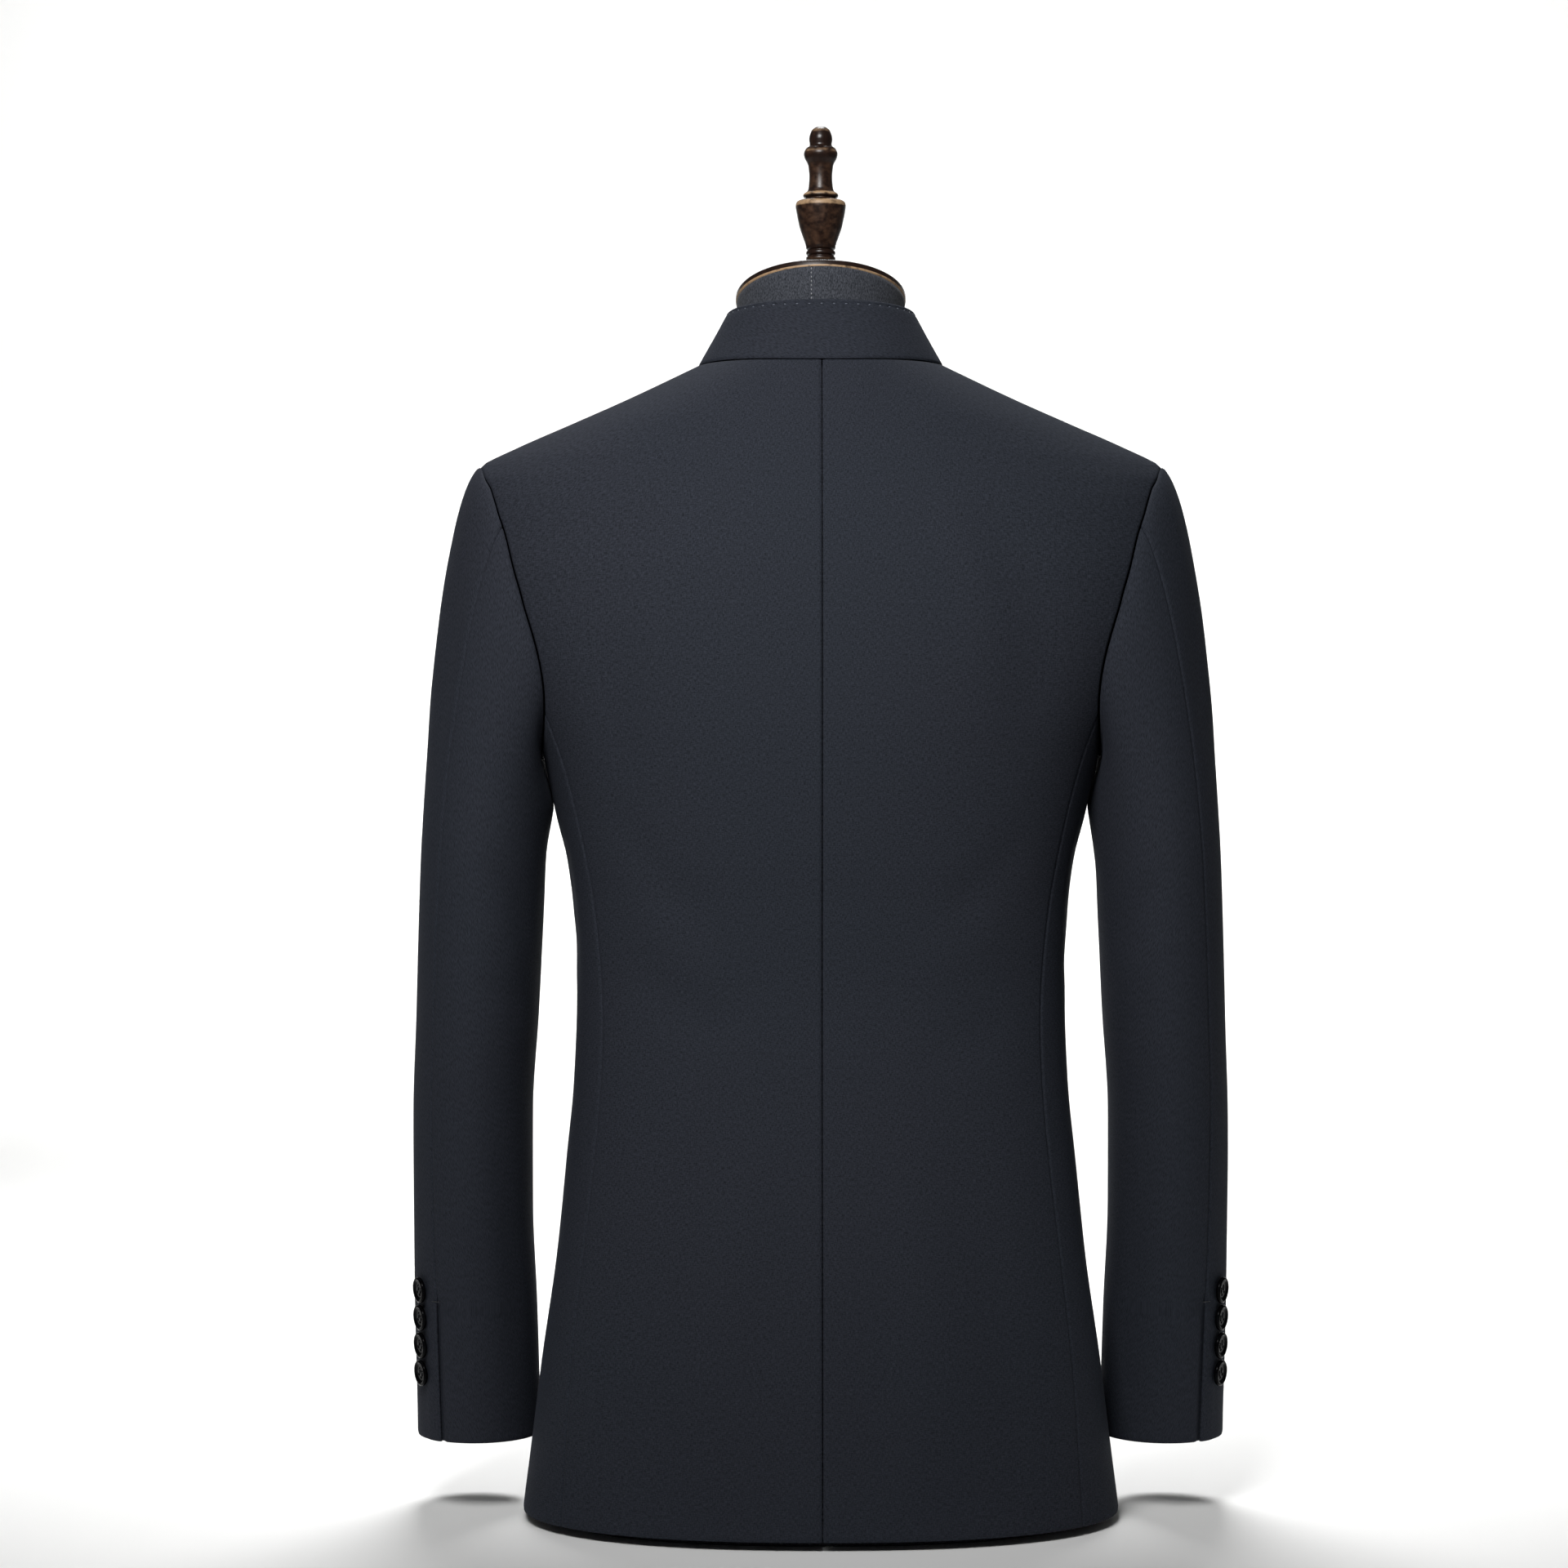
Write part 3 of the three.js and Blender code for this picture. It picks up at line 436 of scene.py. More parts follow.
def panel_piece(name, angle, z, table, side, lift=0, open_edge=False):
    """Cloth over the jacket's surface at a grid of angles and heights, turned in at all its edges."""
    flat = jacket.on(angle, z)
    across, up = run_along(flat, 1), run_along(flat, 0)
    lifts = lift + creases(np.degrees(angle) * ACROSS, z, table) * smooth_step(up, 0, 30)
    lifts = lifts + dip(from_edge(flat)) + dip(up[-1:] - up) + dip(up, *FOLDED_EDGE)
    lifts = lifts + dip(across[:, -1:] - across, *(FOLDED_EDGE if open_edge else SEAMED_EDGE))
    outer, inner = jacket.point(angle, z, lifts), jacket.point(angle, z, np.minimum(lifts, lift) - CLOTH)
    if side == "right":
        outer, inner = mirrored(outer), mirrored(inner)
    uv = points_of(np.degrees(angle) * ACROSS, mix(z, up, 0.5))
    return cloth_mesh(name, outer, inner, uv), cut_size(across[:, -1], up[-1])


def back_panel(side):
    rows = panel_rows("back")
    widths = jacket.radius(rows["angle"] / 2, rows["z"])[:, 0] * rows["angle"][:, 0]
    share = crowded(widths, spacing=5)
    centre = CENTRE_GAP / 2 / jacket.radius(0, row_height(rows, 0, 1))
    angle = mix(rows["angle"], centre, share)
    return panel_piece(f"back_panel_{side}", angle, row_height(rows, angle, share), BACK_CREASES[side], side)


SIDE_SEAM, SIDE_WIDTH = 507, 130         # of the side panel, near enough to space its grid


def side_panel(side):
    row = seam_shares(SIDE_SEAM)[:, None]
    share = crowded(np.full(len(row), SIDE_WIDTH), spacing=5)
    top_angle, top_z = armhole_seam(mix(SEAM_TURN, 360 - SEAM_TURN, share))
    z = mix(HEM_HEIGHT, top_z, row)
    back, front = side_seam_angle("back", z), side_seam_angle("front", z)
    gap = GAP / 2 / jacket.radius(math.pi / 2, z)
    at_top = mix(side_seam_angle("back", top_z), side_seam_angle("front", top_z), share)
    angle = mix(back + gap, front - gap, share) + (top_angle - at_top) * row ** 3
    return panel_piece(f"side_panel_{side}", angle, z, SIDE_CREASES[side], side)


FRONT_OVERLAP, OVERLAP_EASE = 18, 20
OVER_LIFT = 2.6          # the left front lies on the right one


def over_lift(angle, z):
    """How far the left front stands off the surface, where it lies on the right one."""
    from_centre = jacket.radius(angle, z) * np.sin(angle)
    return OVER_LIFT * (1 - smooth_step(from_centre, FRONT_OVERLAP, FRONT_OVERLAP + OVERLAP_EASE))


def front_panel(side):
    rows = panel_rows("front")
    overlap = FRONT_OVERLAP / jacket.radius(math.pi, row_height(rows, math.pi, 1))
    widths = (jacket.radius(math.pi * 0.8, rows["z"]) * (math.pi - rows["angle"]))[:, 0]
    share = crowded(widths, spacing=5)
    angle = mix(rows["angle"], math.pi + overlap, share)
    body_share = (angle - rows["angle"]) / (math.pi - overlap - rows["angle"])
    z = row_height(rows, angle, body_share)
    lift = over_lift(angle, z) if side == "left" else 0
    return panel_piece(f"front_panel_{side}", angle, z, FRONT_CREASES[side], side, lift, open_edge=True)


cloth = {}
for side in ("left", "right"):
    for kind, build in (("back", back_panel), ("side", side_panel), ("front", front_panel)):
        cloth[f"{kind}_{side}"] = build(side)
for node, (piece, size) in cloth.items():
    print(node, len(piece.data.polygons), "faces,", [round(v, 1) for v in size[:2]], "mm")

# %% [markdown]
# ## Sleeves
#
# A tailored sleeve is cut in two: a wide top and a narrower under, joined at the fore-arm and along the
# back of the arm. Its head is bigger than the armhole and is eased into it, which makes it roll out over
# the shoulder before it falls. The lower end of the hind seam is a lapped vent under the cuff buttons.

# %% Sleeve shape
ARM_SECTIONS = np.array([
    # height, inner side, outer side, middle, half-depth
    (47, 182.2, 262.2, -38, 50), (133, 184, 262.5, -27, 54), (196, 186.2, 262.4, -19, 58),
    (259, 185.8, 262, -12, 61.5), (322, 181.6, 260, -6, 65), (385, 178, 258, -2, 67.5),
    (430, 175, 256.2, 0, 69.5), (451, 172, 255, 0, 70),
])
ARM_TOP, CUFF, FORE_SEAM = 451, 47, -120
HEAD_LENGTH = 150        # of the sleeve head, near enough to space its rows
SLEEVE_LIFT = 0.35       # the sleeve seam lies on top of the body's
ROLL_UNDER, ROLL_OVER = 4, 19            # how far the head sets out sideways under the arm and on top
SET_OUT_DROP, ARRIVE_DROP = 0.077, 0.45  # how steeply it sets out and arrives, as shares of its drop
arm_inside, arm_outside, arm_middle, arm_depth = (
    curve_through(ARM_SECTIONS[:, 0], ARM_SECTIONS[:, column]) for column in (1, 2, 3, 4))
hind_seam_angle = curve_through([0, 1, 1.3, 2], [60, 54, 52, 57.5])


def arm_point(angle, z):
    """A point of the hanging part of the left sleeve, at an angle from its outside towards the back."""
    centre, half = (arm_inside(z) + arm_outside(z)) / 2, (arm_outside(z) - arm_inside(z)) / 2
    return points_of(centre + half * np.cos(angle), arm_middle(z) + arm_depth(z) * np.sin(angle), z)


def sleeve_head(angle, share):
    """The curve from the armhole seam that rolls out and down into the hanging sleeve."""
    seam_angle, seam_z = armhole_seam(np.degrees(angle))
    start = jacket.point(seam_angle, seam_z, np.full(seam_z.shape, SLEEVE_LIFT))
    start[..., 2] -= 0.15 * np.cos(angle)
    end = arm_point(angle, ARM_TOP)
    drop = (start - end)[..., 2:]
    level = jacket.normal(seam_angle, seam_z) * np.array([1, 1, 0])
    leave = unit(level) * mix(ROLL_UNDER, ROLL_OVER, (1 + np.cos(angle)) / 2)[..., None]
    leave[..., 2:] = -SET_OUT_DROP * drop
    arrive = unit(end - arm_point(angle, ARM_TOP - 1)) * ARRIVE_DROP * drop
    t = share[..., None]
    point = (start * (1 - t) ** 3 + 3 * (start + leave) * t * (1 - t) ** 2
             + 3 * (end + arrive) * t * t * (1 - t) + end * t ** 3)
    x, y, z = np.moveaxis(point, -1, 0)
    reach = np.hypot(x, y)
    least = jacket.radius(np.arctan2(x, y), z) + smooth_step(share, 0, 0.06)
    beside_body = smooth_step(-np.cos(angle), -0.9, -0.6)
    point[..., :2] *= np.maximum(1, beside_body * least / reach)[..., None]
    return point


def sleeve_outside(angle, share):
    """Outside of the left sleeve: share 0 to 1 is the head, 1 to 2 hangs down to the cuff."""
    angle, share = np.broadcast_arrays(np.asarray(angle, float), np.asarray(share, float))
    head = sleeve_head(angle, np.clip(share, 0, 1))
    hanging = arm_point(angle, mix(ARM_TOP, CUFF, share - 1))
    return np.where((share <= 1)[..., None], head, hanging)


def sleeve_point(angle, share, lift):
    angle, share = np.broadcast_arrays(np.asarray(angle, float), np.asarray(share, float))
    below, above = np.minimum(share + 0.01, 2), np.maximum(share - 0.01, 0)
    down = sleeve_outside(angle, below) - sleeve_outside(angle, above)
    around = sleeve_outside(angle + 0.02, share) - sleeve_outside(angle - 0.02, share)
    outwards = unit(np.cross(around, -down))
    return sleeve_outside(angle, share) + outwards * np.asarray(lift, float)[..., None]


# %% Sleeve pieces
# Each fold is written as for the body, but here x is the angle round the arm in degrees.
SLEEVE_CREASES = {
    "left": [(30, 600, 34, 470, 12, -0.9), (8, 610, 4, 500, 12, 0.6), (-40, 560, -62, 440, 14, -0.8),
             (96, 420, 150, 372, 9, -1.0), (88, 384, 140, 346, 8, 0.7), (92, 344, 150, 318, 8, -0.7),
             (-70, 392, -20, 350, 10, -1.1), (-76, 352, -16, 322, 9, 0.8), (-74, 318, -28, 296, 9, -0.9),
             (10, 300, 4, 90, 15, 0.5), (120, 250, 126, 80, 14, -0.6), (-60, 230, -48, 70, 14, -0.6),
             (180, 440, 205, 330, 12, -0.9), (215, 300, 222, 100, 14, 0.6)],
    "right": [(26, 590, 32, 478, 13, -0.8), (6, 600, 8, 490, 13, 0.6), (-44, 552, -58, 452, 13, -0.9),
              (92, 408, 152, 366, 10, -0.9), (86, 372, 146, 336, 9, 0.6), (98, 330, 146, 306, 8, -0.6),
              (-74, 382, -18, 344, 11, -1.0), (-70, 340, -20, 312, 9, 0.8), (-78, 306, -24, 288, 8, -0.8),
              (8, 280, 6, 80, 15, 0.5), (116, 240, 124, 70, 15, -0.6), (-56, 220, -50, 75, 13, -0.6),
              (184, 428, 202, 340, 12, -0.8), (212, 290, 224, 90, 14, 0.6)],
}
VENT_TOP, LAP, LAP_LIFT = 138.8, 15, 0.55
TUCK, TUCK_DEPTH = 8, 2.1                # how far the under sleeve reaches below the top one in the vent
ALLOWANCE, ALLOWANCE_DEPTH = 1.0, 2.4    # how far its inside reaches below the top one at the fore-arm
SLEEVE_UV = 900          # starts the sleeve's weave away from the body's


def sleeve_piece(side, half):
    at_head, at_cuff = EDGE_STEPS / HEAD_LENGTH, 2 - EDGE_STEPS[::-1] / (ARM_TOP - CUFF)
    along = np.concatenate([at_head, np.linspace(at_head[-1], 1, 26)[1:],
                            np.linspace(1, at_cuff[0], 62)[1:], at_cuff[1:]])[:, None]
    hind, fore = np.radians(hind_seam_angle(along)), np.full(along.shape, math.radians(FORE_SEAM))
    start, end = (fore, hind) if half == "top" else (hind, fore + 2 * math.pi)
    widths = run_along(sleeve_outside(mix(start, end, np.linspace(0, 1, 13)[None, :]), along), 1)[:, -1]
    trim = (GAP / 2 / widths)[:, None] * (end - start)
    if half == "under":
        height = mix(ARM_TOP, CUFF, along - 1)
        tuck = TUCK * smooth_step(height, VENT_TOP - 1, VENT_TOP - 9)
        start = start - tuck / widths[:, None] * (end - start)
    angle = mix(start + trim, end - trim, crowded(widths, spacing=4))
    flat = sleeve_outside(angle, along)
    across, down = run_along(flat, 1), run_along(flat, 0)
    left = across[:, -1:] - across
    z = flat[..., 2]
    hind_side = left if half == "top" else across
    fore_side = across if half == "top" else left
    in_vent = smooth_step(z, VENT_TOP + 1, VENT_TOP - 1.5)
    lap = (1 - smooth_step(hind_side, LAP - 6, LAP)) * in_vent
    hidden = 1 - smooth_step(hind_side, TUCK, TUCK + 5)
    lifts = creases(np.degrees(angle), z, SLEEVE_CREASES[side]) * smooth_step(down, 0, 25)
    lifts = lifts * smooth_step(down[-1:] - down, 0, 30)
    lifts = lifts + dip(fore_side) + dip(down, 0.4, 1.0) + dip(down[-1:] - down, 0.4, 1.1)
    lifts = lifts + dip(hind_side) * (1 - in_vent) + dip(hind_side, 0.35, 0.8) * in_vent
    lifts = lifts + (LAP_LIFT * lap if half == "top" else -TUCK_DEPTH * hidden * in_vent)
    outer = sleeve_point(angle, along, lifts)
    inside_lifts = np.minimum(lifts, 0.2) - CLOTH
    inside_angle = angle.copy()
    if half == "under":      # the seam allowance, which closes the fore-arm seam from inside
        inside_lifts[:, -1] -= ALLOWANCE_DEPTH
        inside_angle[:, -1:] += ALLOWANCE / widths[:, None] * (end - start)
    inner = sleeve_point(inside_angle, along, inside_lifts)
    if side == "right":
        outer, inner = mirrored(outer), mirrored(inner)
    uv = points_of(np.degrees(angle) + SLEEVE_UV, -down)
    piece = cloth_mesh(f"sleeve_{half}_{side}", outer, inner, uv)
    return piece, cut_size(across[:, -1], down[-1])


for side in ("left", "right"):
    for half in ("top", "under"):
        cloth[f"sleeve_{side}_{half}"] = sleeve_piece(side, half)
        piece, size = cloth[f"sleeve_{side}_{half}"]
        print(piece.name, len(piece.data.polygons), "faces,", [round(v, 1) for v in size[:2]], "mm")

# %% [markdown]
# ## Stand collar
#
# The collar is one band of two cloths round a stiff interlining, cut curved so that it leans in to the
# neck. Its top edge is rolled, and a row of pick stitches just below the edge holds the layers together.
# Each stitch pulls the cloth down, so the band has a small dimple there.

# %% Stand collar
COLLAR = {"back": 39, "side": 34, "front": 38, "lean_back": 15, "lean_side": 19, "lean_front": 9}
COLLAR_THICKNESS = 2.8
PICK_INSET, PICK_PITCH = 2.9, 7.7
BAND_RISE, BAND_MEAN = 37, 36.5          # the band's height, to space its rows and to state its area
BAND_COLUMNS, ROLL, END_ROLL = 400, 1.4, 1.2
CORNER_DROP, CORNER_REACH = 7, 12        # the top edge falls to rounded corners in front
COLLAR_UV = 1500         # starts the collar's weave away from the body's


def collar_surface(angle, rise, inwards):
    """A point of the collar at an angle, a rise from 0 at the seam to 1 at the top, and a depth."""
    lean = section_radius(COLLAR["lean_side"], COLLAR["lean_back"], COLLAR["lean_front"], 2, angle)
    height = section_radius(COLLAR["side"], COLLAR["back"], COLLAR["front"], 2, angle)
    from_front = (math.pi - np.abs(angle)) * NECK["front"]
    corner = CORNER_DROP * rise * np.maximum(0, 1 - from_front / CORNER_REACH) ** 2
    z = neckline_height(angle) + 0.25 + height * rise - corner
    return at_reach(section_radius(angle=angle, **NECK) - lean * rise - inwards, angle, z)


def stand_collar():
    open_angle = 0.2 / NECK["front"]
    angle = np.linspace(-math.pi + open_angle, math.pi - open_angle, BAND_COLUMNS)[None, :]
    seam, top = EDGE_STEPS[:7] / BAND_RISE, 1 - np.arange(4.4, -0.1, -0.4) / BAND_RISE
    rise = np.concatenate([seam, np.linspace(seam[-1], top[0], 14)[1:], top[1:]])[:, None]
    flat = collar_surface(angle, rise, 0)
    around, up = run_along(flat, 1), run_along(flat, 0)
    from_top = up[-1:] - up
    line = run_along(collar_surface(angle, 1 - PICK_INSET / BAND_RISE, 0), 1)[0]
    count = int(line[-1] / PICK_PITCH)
    beside = np.abs(line[:, None] - np.arange(count + 1) * line[-1] / count).min(axis=1)[None, :]
    lift = dip(up, 0.7, 1.0) + dip(from_top - PICK_INSET, 0.22, 1.0)
    lift = lift - 0.6 * np.exp(-((beside / 1.3) ** 2) - ((from_top - PICK_INSET) / 0.9) ** 2)
    lift = lift + 0.25 * np.sin(around / 31) * np.sin(up / BAND_RISE * math.pi)
    short_of_top = 1 - np.minimum(from_top / ROLL, 1)
    roll = COLLAR_THICKNESS / 2 * (1 - np.sqrt(np.clip(1 - short_of_top ** 2, 0, 1)))
    ends = np.minimum(around, around[:, -1:] - around)
    roll = np.maximum(roll, 0.9 * (1 - np.minimum(ends / END_ROLL, 1)) ** 2)
    outer = collar_surface(angle, rise, roll - lift)
    inner = collar_surface(angle, rise, COLLAR_THICKNESS - roll)
    piece = cloth_mesh("collar_band", outer, inner, points_of(around + COLLAR_UV, up))
    stitches = collar_surface(angle[0], np.full(BAND_COLUMNS, 1 - PICK_INSET / BAND_RISE), 0.42)
    lengths = around[:, -1]
    return piece, (float(lengths.max()), float(COLLAR["back"]), float(lengths.mean() * BAND_MEAN)), stitches


band, band_size, collar_line = stand_collar()
cloth["stand_collar"] = (band, band_size)
print("collar:", [round(v, 1) for v in band_size[:2]], "mm, stitches every", PICK_PITCH, "mm")

# %% [markdown]
# ## Pocket flaps
#
# The front has four patch-like pockets shut by shaped flaps, two at the chest and two at the hip. Each
# flap hangs from a seam, so its top turns in to the front, and its free edges are rolled and stitched.

# %% Pocket flaps
FLAPS = [
    {"name": "chest_flap", "from": 126, "to": 160, "top": 592, "side": 42, "point": 50},
    {"name": "hip_flap", "from": 113, "to": 159, "top": 262, "side": 54, "point": 64},
]
FLAP_CLEAR, FLAP_CLOTH, FLAP_CROWN = 0.35, 1.7, 0.5
FLAP_INSET, FLAP_LINE = 3, 60            # of its stitches from the edge, and points along them


def flap_grid(flap, across, down, lift):
    angle = np.radians(mix(flap["from"], flap["to"], across))
    point = 1 - np.abs(2 * across - 1) ** 1.6
    z = flap["top"] - down * mix(flap["side"], flap["point"], point)
    return jacket.point(angle, z, lift), angle, z


def pocket_flap(flap, side):
    low, _, _ = flap_grid(flap, np.linspace(0, 1, 30)[None, :], np.ones((1, 30)), np.zeros((1, 30)))
    width = float(run_along(low, 1)[0, -1])
    across = crowded(width, spacing=3)
    down = (1 - crowded(flap["point"], spacing=3)[0])[:, None]
    flat, angle, z = flap_grid(flap, across, down, np.zeros((len(down), across.shape[1])))
    over, up = run_along(flat, 1), run_along(flat, 0)
    free = np.minimum(np.minimum(over, over[:, -1:] - over), up)
    under = FLAP_CLEAR + FLAP_CROWN * smooth_step(up, 0, 20)
    crown = under + FLAP_CLOTH
    lift = crown + dip(free, FLAP_CLOTH * 0.55, 0.9) + dip(up[-1:] - up, 1.9, 2.2)
    lift = lift + dip(free - FLAP_INSET, 0.18, 0.8)
    base = np.minimum(under, lift - 0.4)
    outer, inner = flap_grid(flap, across, down, lift)[0], flap_grid(flap, across, down, base)[0]
    inset = np.full(FLAP_LINE, 1 - FLAP_INSET / flap["point"])
    stitches = flap_grid(flap, np.linspace(0.035, 0.965, FLAP_LINE), inset,
                         np.full(FLAP_LINE, crown.max() - 0.25))[0]
    if side == "right":
        outer, inner, stitches = mirrored(outer), mirrored(inner), mirrored(stitches)
    uv = points_of(np.degrees(angle) * ACROSS, z)
    piece = cloth_mesh(f"{flap['name']}_{side}_shell", outer, inner, uv)
    return piece, (width, float(flap["point"]), width * (flap["side"] + flap["point"]) / 2), stitches


flap_lines = []
for flap in FLAPS:
    for side in ("left", "right"):
        piece, size, line = pocket_flap(flap, side)
        cloth[f"{flap['name']}_{side}"] = (piece, size)
        flap_lines.append(line)
        print(piece.name, [round(v, 1) for v in size[:2]], "mm")

# %% [markdown]
# ## Dress form
#
# The form is a hard torso covered in stretched dark cloth, with a seam up the back of its neck. It is
# lofted through sections like the jacket's, a little inside them, and closed flat underneath. A wooden
# cap covers the sloping top of the neck, and a turned finial stands on the cap.

# %% Form torso
FORM_SECTIONS = np.array([
    # height, half-width, depth behind, depth in front, squareness
    (0, 170, 110, 106, 2.3), (101, 167, 111, 108, 2.3), (164, 159.5, 106.5, 105, 2.3),
    (230, 151, 98.5, 100.5, 2.25), (330, 144, 89, 96, 2.25), (390, 147, 93.5, 101, 2.3),
    (448, 157, 101.5, 108, 2.3), (511, 173, 107.5, 115, 2.35), (563, 183, 108.5, 113, 2.35),
    (597, 188, 106.5, 106, 2.25), (635, 189, 101, 93, 2.08), (660, 187, 95.8, 81, 1.95),
    (672, 182, 92.8, 75, 1.92), (684, 169, 89.3, 69.5, 1.92), (700, 141, 85, 64, 1.95),
    (716, 106.5, 79, 60.5, 2), (731.5, 73, 70, 59, 2), (745, 58, 61, 58, 2), (758, 54, 57.5, 57, 2),
])
FORM_SIDES = 144
FOOT_HEIGHTS, FOOT_ROUND = [0, 1.2, 4], [-2.2, -0.6, 0]   # the foot's edge is rounded a little
NECK_COLUMN = {"side": 54, "back": 56.5, "front": 56.5, "squareness": 2}
CAP = {"side": 54.6, "depth": 57.5, "thickness": 5.4, "height": 777.5, "tilt": 17}
CAP_SLOPE = math.tan(math.radians(CAP["tilt"]))
NECK_SEAM_X, NECK_SEAM_DEPTH, NECK_SEAM_WIDTH = 6.4, 0.8, 1.6   # the cover's seam, a little to one side


def lofted(name, rings, smooth_ends=False):
    """A closed smooth solid through rings of points in millimetres, fanned at both ends."""
    count, sides = rings.shape[:2]
    index = np.arange(count * sides).reshape(count, sides)
    nxt = np.roll(index, -1, axis=1)
    faces = np.stack([index[:-1], nxt[:-1], nxt[1:], index[1:]], axis=-1).reshape(-1, 4).tolist()
    points = [*rings.reshape(-1, 3), rings[0].mean(axis=0), rings[-1].mean(axis=0)]
    faces += [(int(b), int(a), count * sides) for a, b in zip(index[0], nxt[0])]
    faces += [(int(a), int(b), count * sides + 1) for a, b in zip(index[-1], nxt[-1])]
    thing = mesh_object(name, points, faces)
    if not smooth_ends:
        thing.data.polygons.foreach_set("use_smooth", [len(face) == 4 for face in faces])
    turn_outwards(thing.data)
    return thing


def turn_outwards(mesh):
    """Flips a closed mesh whose faces point in."""
    mesh.calc_loop_triangles()
    volume = 0
    for triangle in mesh.loop_triangles:
        a, b, c = (mesh.vertices[i].co for i in triangle.vertices)
        volume += a.dot(b.cross(c))
    if volume < 0:
        mesh.flip_normals()


form = Surface(FORM_SECTIONS)
around = np.linspace(0, 2 * math.pi, FORM_SIDES, endpoint=False)
levels = np.concatenate([FOOT_HEIGHTS, np.linspace(12, 742, 82)])
foot_round = np.interp(levels, FOOT_HEIGHTS, FOOT_ROUND)
rings = [form.point(around, z, np.full(FORM_SIDES, lift)) for z, lift in zip(levels, foot_round)]
rings[0][..., 2] = 0
column = section_radius(angle=around, **NECK_COLUMN)
x, y = column * np.sin(around), column * np.cos(around)
neck_top = CAP["height"] + y * CAP_SLOPE - 0.3
neck_seam = np.where(y > 0, dip(x - NECK_SEAM_X, NECK_SEAM_DEPTH, NECK_SEAM_WIDTH), 0)
for share in np.linspace(0, 1, 14):
    rings.append(at_reach(column + neck_seam, around, mix(752, neck_top, share)))
form_cover = lofted("form_cover", np.array(rings))
print("form cover:", len(form_cover.data.polygons), "faces")

# %% [markdown]
# ## Cap and finial
#
# Both are turned and lacquered dark, and both have been handled: the lacquer has rubbed through to gold
# along the cap's lower edge and on the finial's rings. A wear value is stored on each point of the
# turned profile, high where the profile sticks out, and the lacquer reads it.

# %% Turned wood
FINIAL_PROFILE = np.array([
    # radius, height
    (7.2, 786), (7.2, 804.5), (9.4, 805.6), (9.4, 807.4), (8.2, 808.3), (9.4, 809.2), (9.4, 811),
    (8.2, 811.9), (9.4, 812.8), (9.6, 815.2), (11.6, 820.8), (13.5, 826), (15.2, 834), (16.3, 840.6),
    (15.4, 843.4), (9, 845), (11.3, 846.2), (11.3, 848), (8, 850), (7.2, 859), (8, 867), (10.4, 871),
    (11, 874.3), (9.6, 877.4), (6.8, 879), (7.7, 884), (6, 889), (3.6, 891), (0.5, 891.6),
])
FINIAL_SIDES, CAP_SIDES = 64, 160


def softened(profile, rounds=2):
    """Cuts the corners of a profile a few times, as sanding does."""
    for _ in range(rounds):
        a, b = profile[:-1], profile[1:]
        cut = np.stack([a * 0.8 + b * 0.2, a * 0.2 + b * 0.8], axis=1).reshape(-1, 2)
        profile = np.concatenate([profile[:1], cut, profile[-1:]])
    return profile


def set_wear(thing, values):
    """Stores how worn each point of a lofted thing is. The middles of its two ends aren't worn."""
    layer = thing.data.attributes.new("wear", "FLOAT", "POINT")
    at_ends = np.zeros(len(thing.data.vertices) - len(values))
    layer.data.foreach_set("value", np.concatenate([values, at_ends]))


def turned_finial():
    profile = softened(FINIAL_PROFILE)
    radius, height = profile.T
    turns = np.linspace(0, 2 * math.pi, FINIAL_SIDES, endpoint=False)
    rings = at_reach(radius[:, None], turns, height[:, None])
    cap_top = CAP["height"] + CAP["thickness"] / math.cos(math.radians(CAP["tilt"]))
    rings[0, :, 2] = cap_top + rings[0, :, 1] * CAP_SLOPE + 0.05
    thing = lofted("finial_turned", rings)
    nearby = (np.interp(height - 3, height, radius) + np.interp(height + 3, height, radius)) / 2
    rubbed = np.interp(height, [810, 818, 860, 866], [0.7, 1, 1, 0.75])
    proud = np.clip((radius - nearby) / 1.2, 0, 1) * rubbed
    handled = np.where((height > 815) & (height < 868), 0.58, 0.4)
    set_wear(thing, np.repeat(np.maximum(proud, handled), FINIAL_SIDES))
    return thing


def neck_cap():
    turns = np.linspace(0, 2 * math.pi, CAP_SIDES, endpoint=False)
    thick, round_edge = CAP["thickness"], 1.6
    quarter = [(round_edge * (1 - math.sin(t)), round_edge * (1 - math.cos(t)))
               for t in np.linspace(0, math.pi / 2, 7)]
    low = [(inset, height, 1) for inset, height in quarter]
    high = [(inset, thick - height, 0) for inset, height in quarter[::-1]]
    profile = [(14, 0, 0), (round_edge + 3, 0, 0.2), *low, (0, 1.7, 0.9), (0, 2.0, 0), *high,
               (round_edge + 3, thick, 0), (14, thick, 0)]
    tilt = Matrix.Rotation(math.radians(CAP["tilt"]), 3, "X")
    rings = []
    for inset, height, _ in profile:
        across, along = (CAP["side"] - inset) * np.sin(turns), (CAP["depth"] - inset) * np.cos(turns)
        rings.append(points_of(across, along, height) @ np.array(tilt).T + np.array([0, 0, CAP["height"]]))
    thing = lofted("cap_of_the_neck", np.array(rings))
    set_wear(thing, np.repeat([wear for _, _, wear in profile], CAP_SIDES))
    return thing


finial, cap = turned_finial(), neck_cap()
print("finial:", len(finial.data.polygons), "faces; cap:", len(cap.data.polygons), "faces")

# %% [markdown]
# ## Buttons
#
# A suit button is turned from polished resin: a raised rim round a shallow dish, with four holes for the
# thread. One button and its two bars of thread are modelled, and Geometry Nodes set a copy on every place
# where a button is sewn, facing out of the cloth.

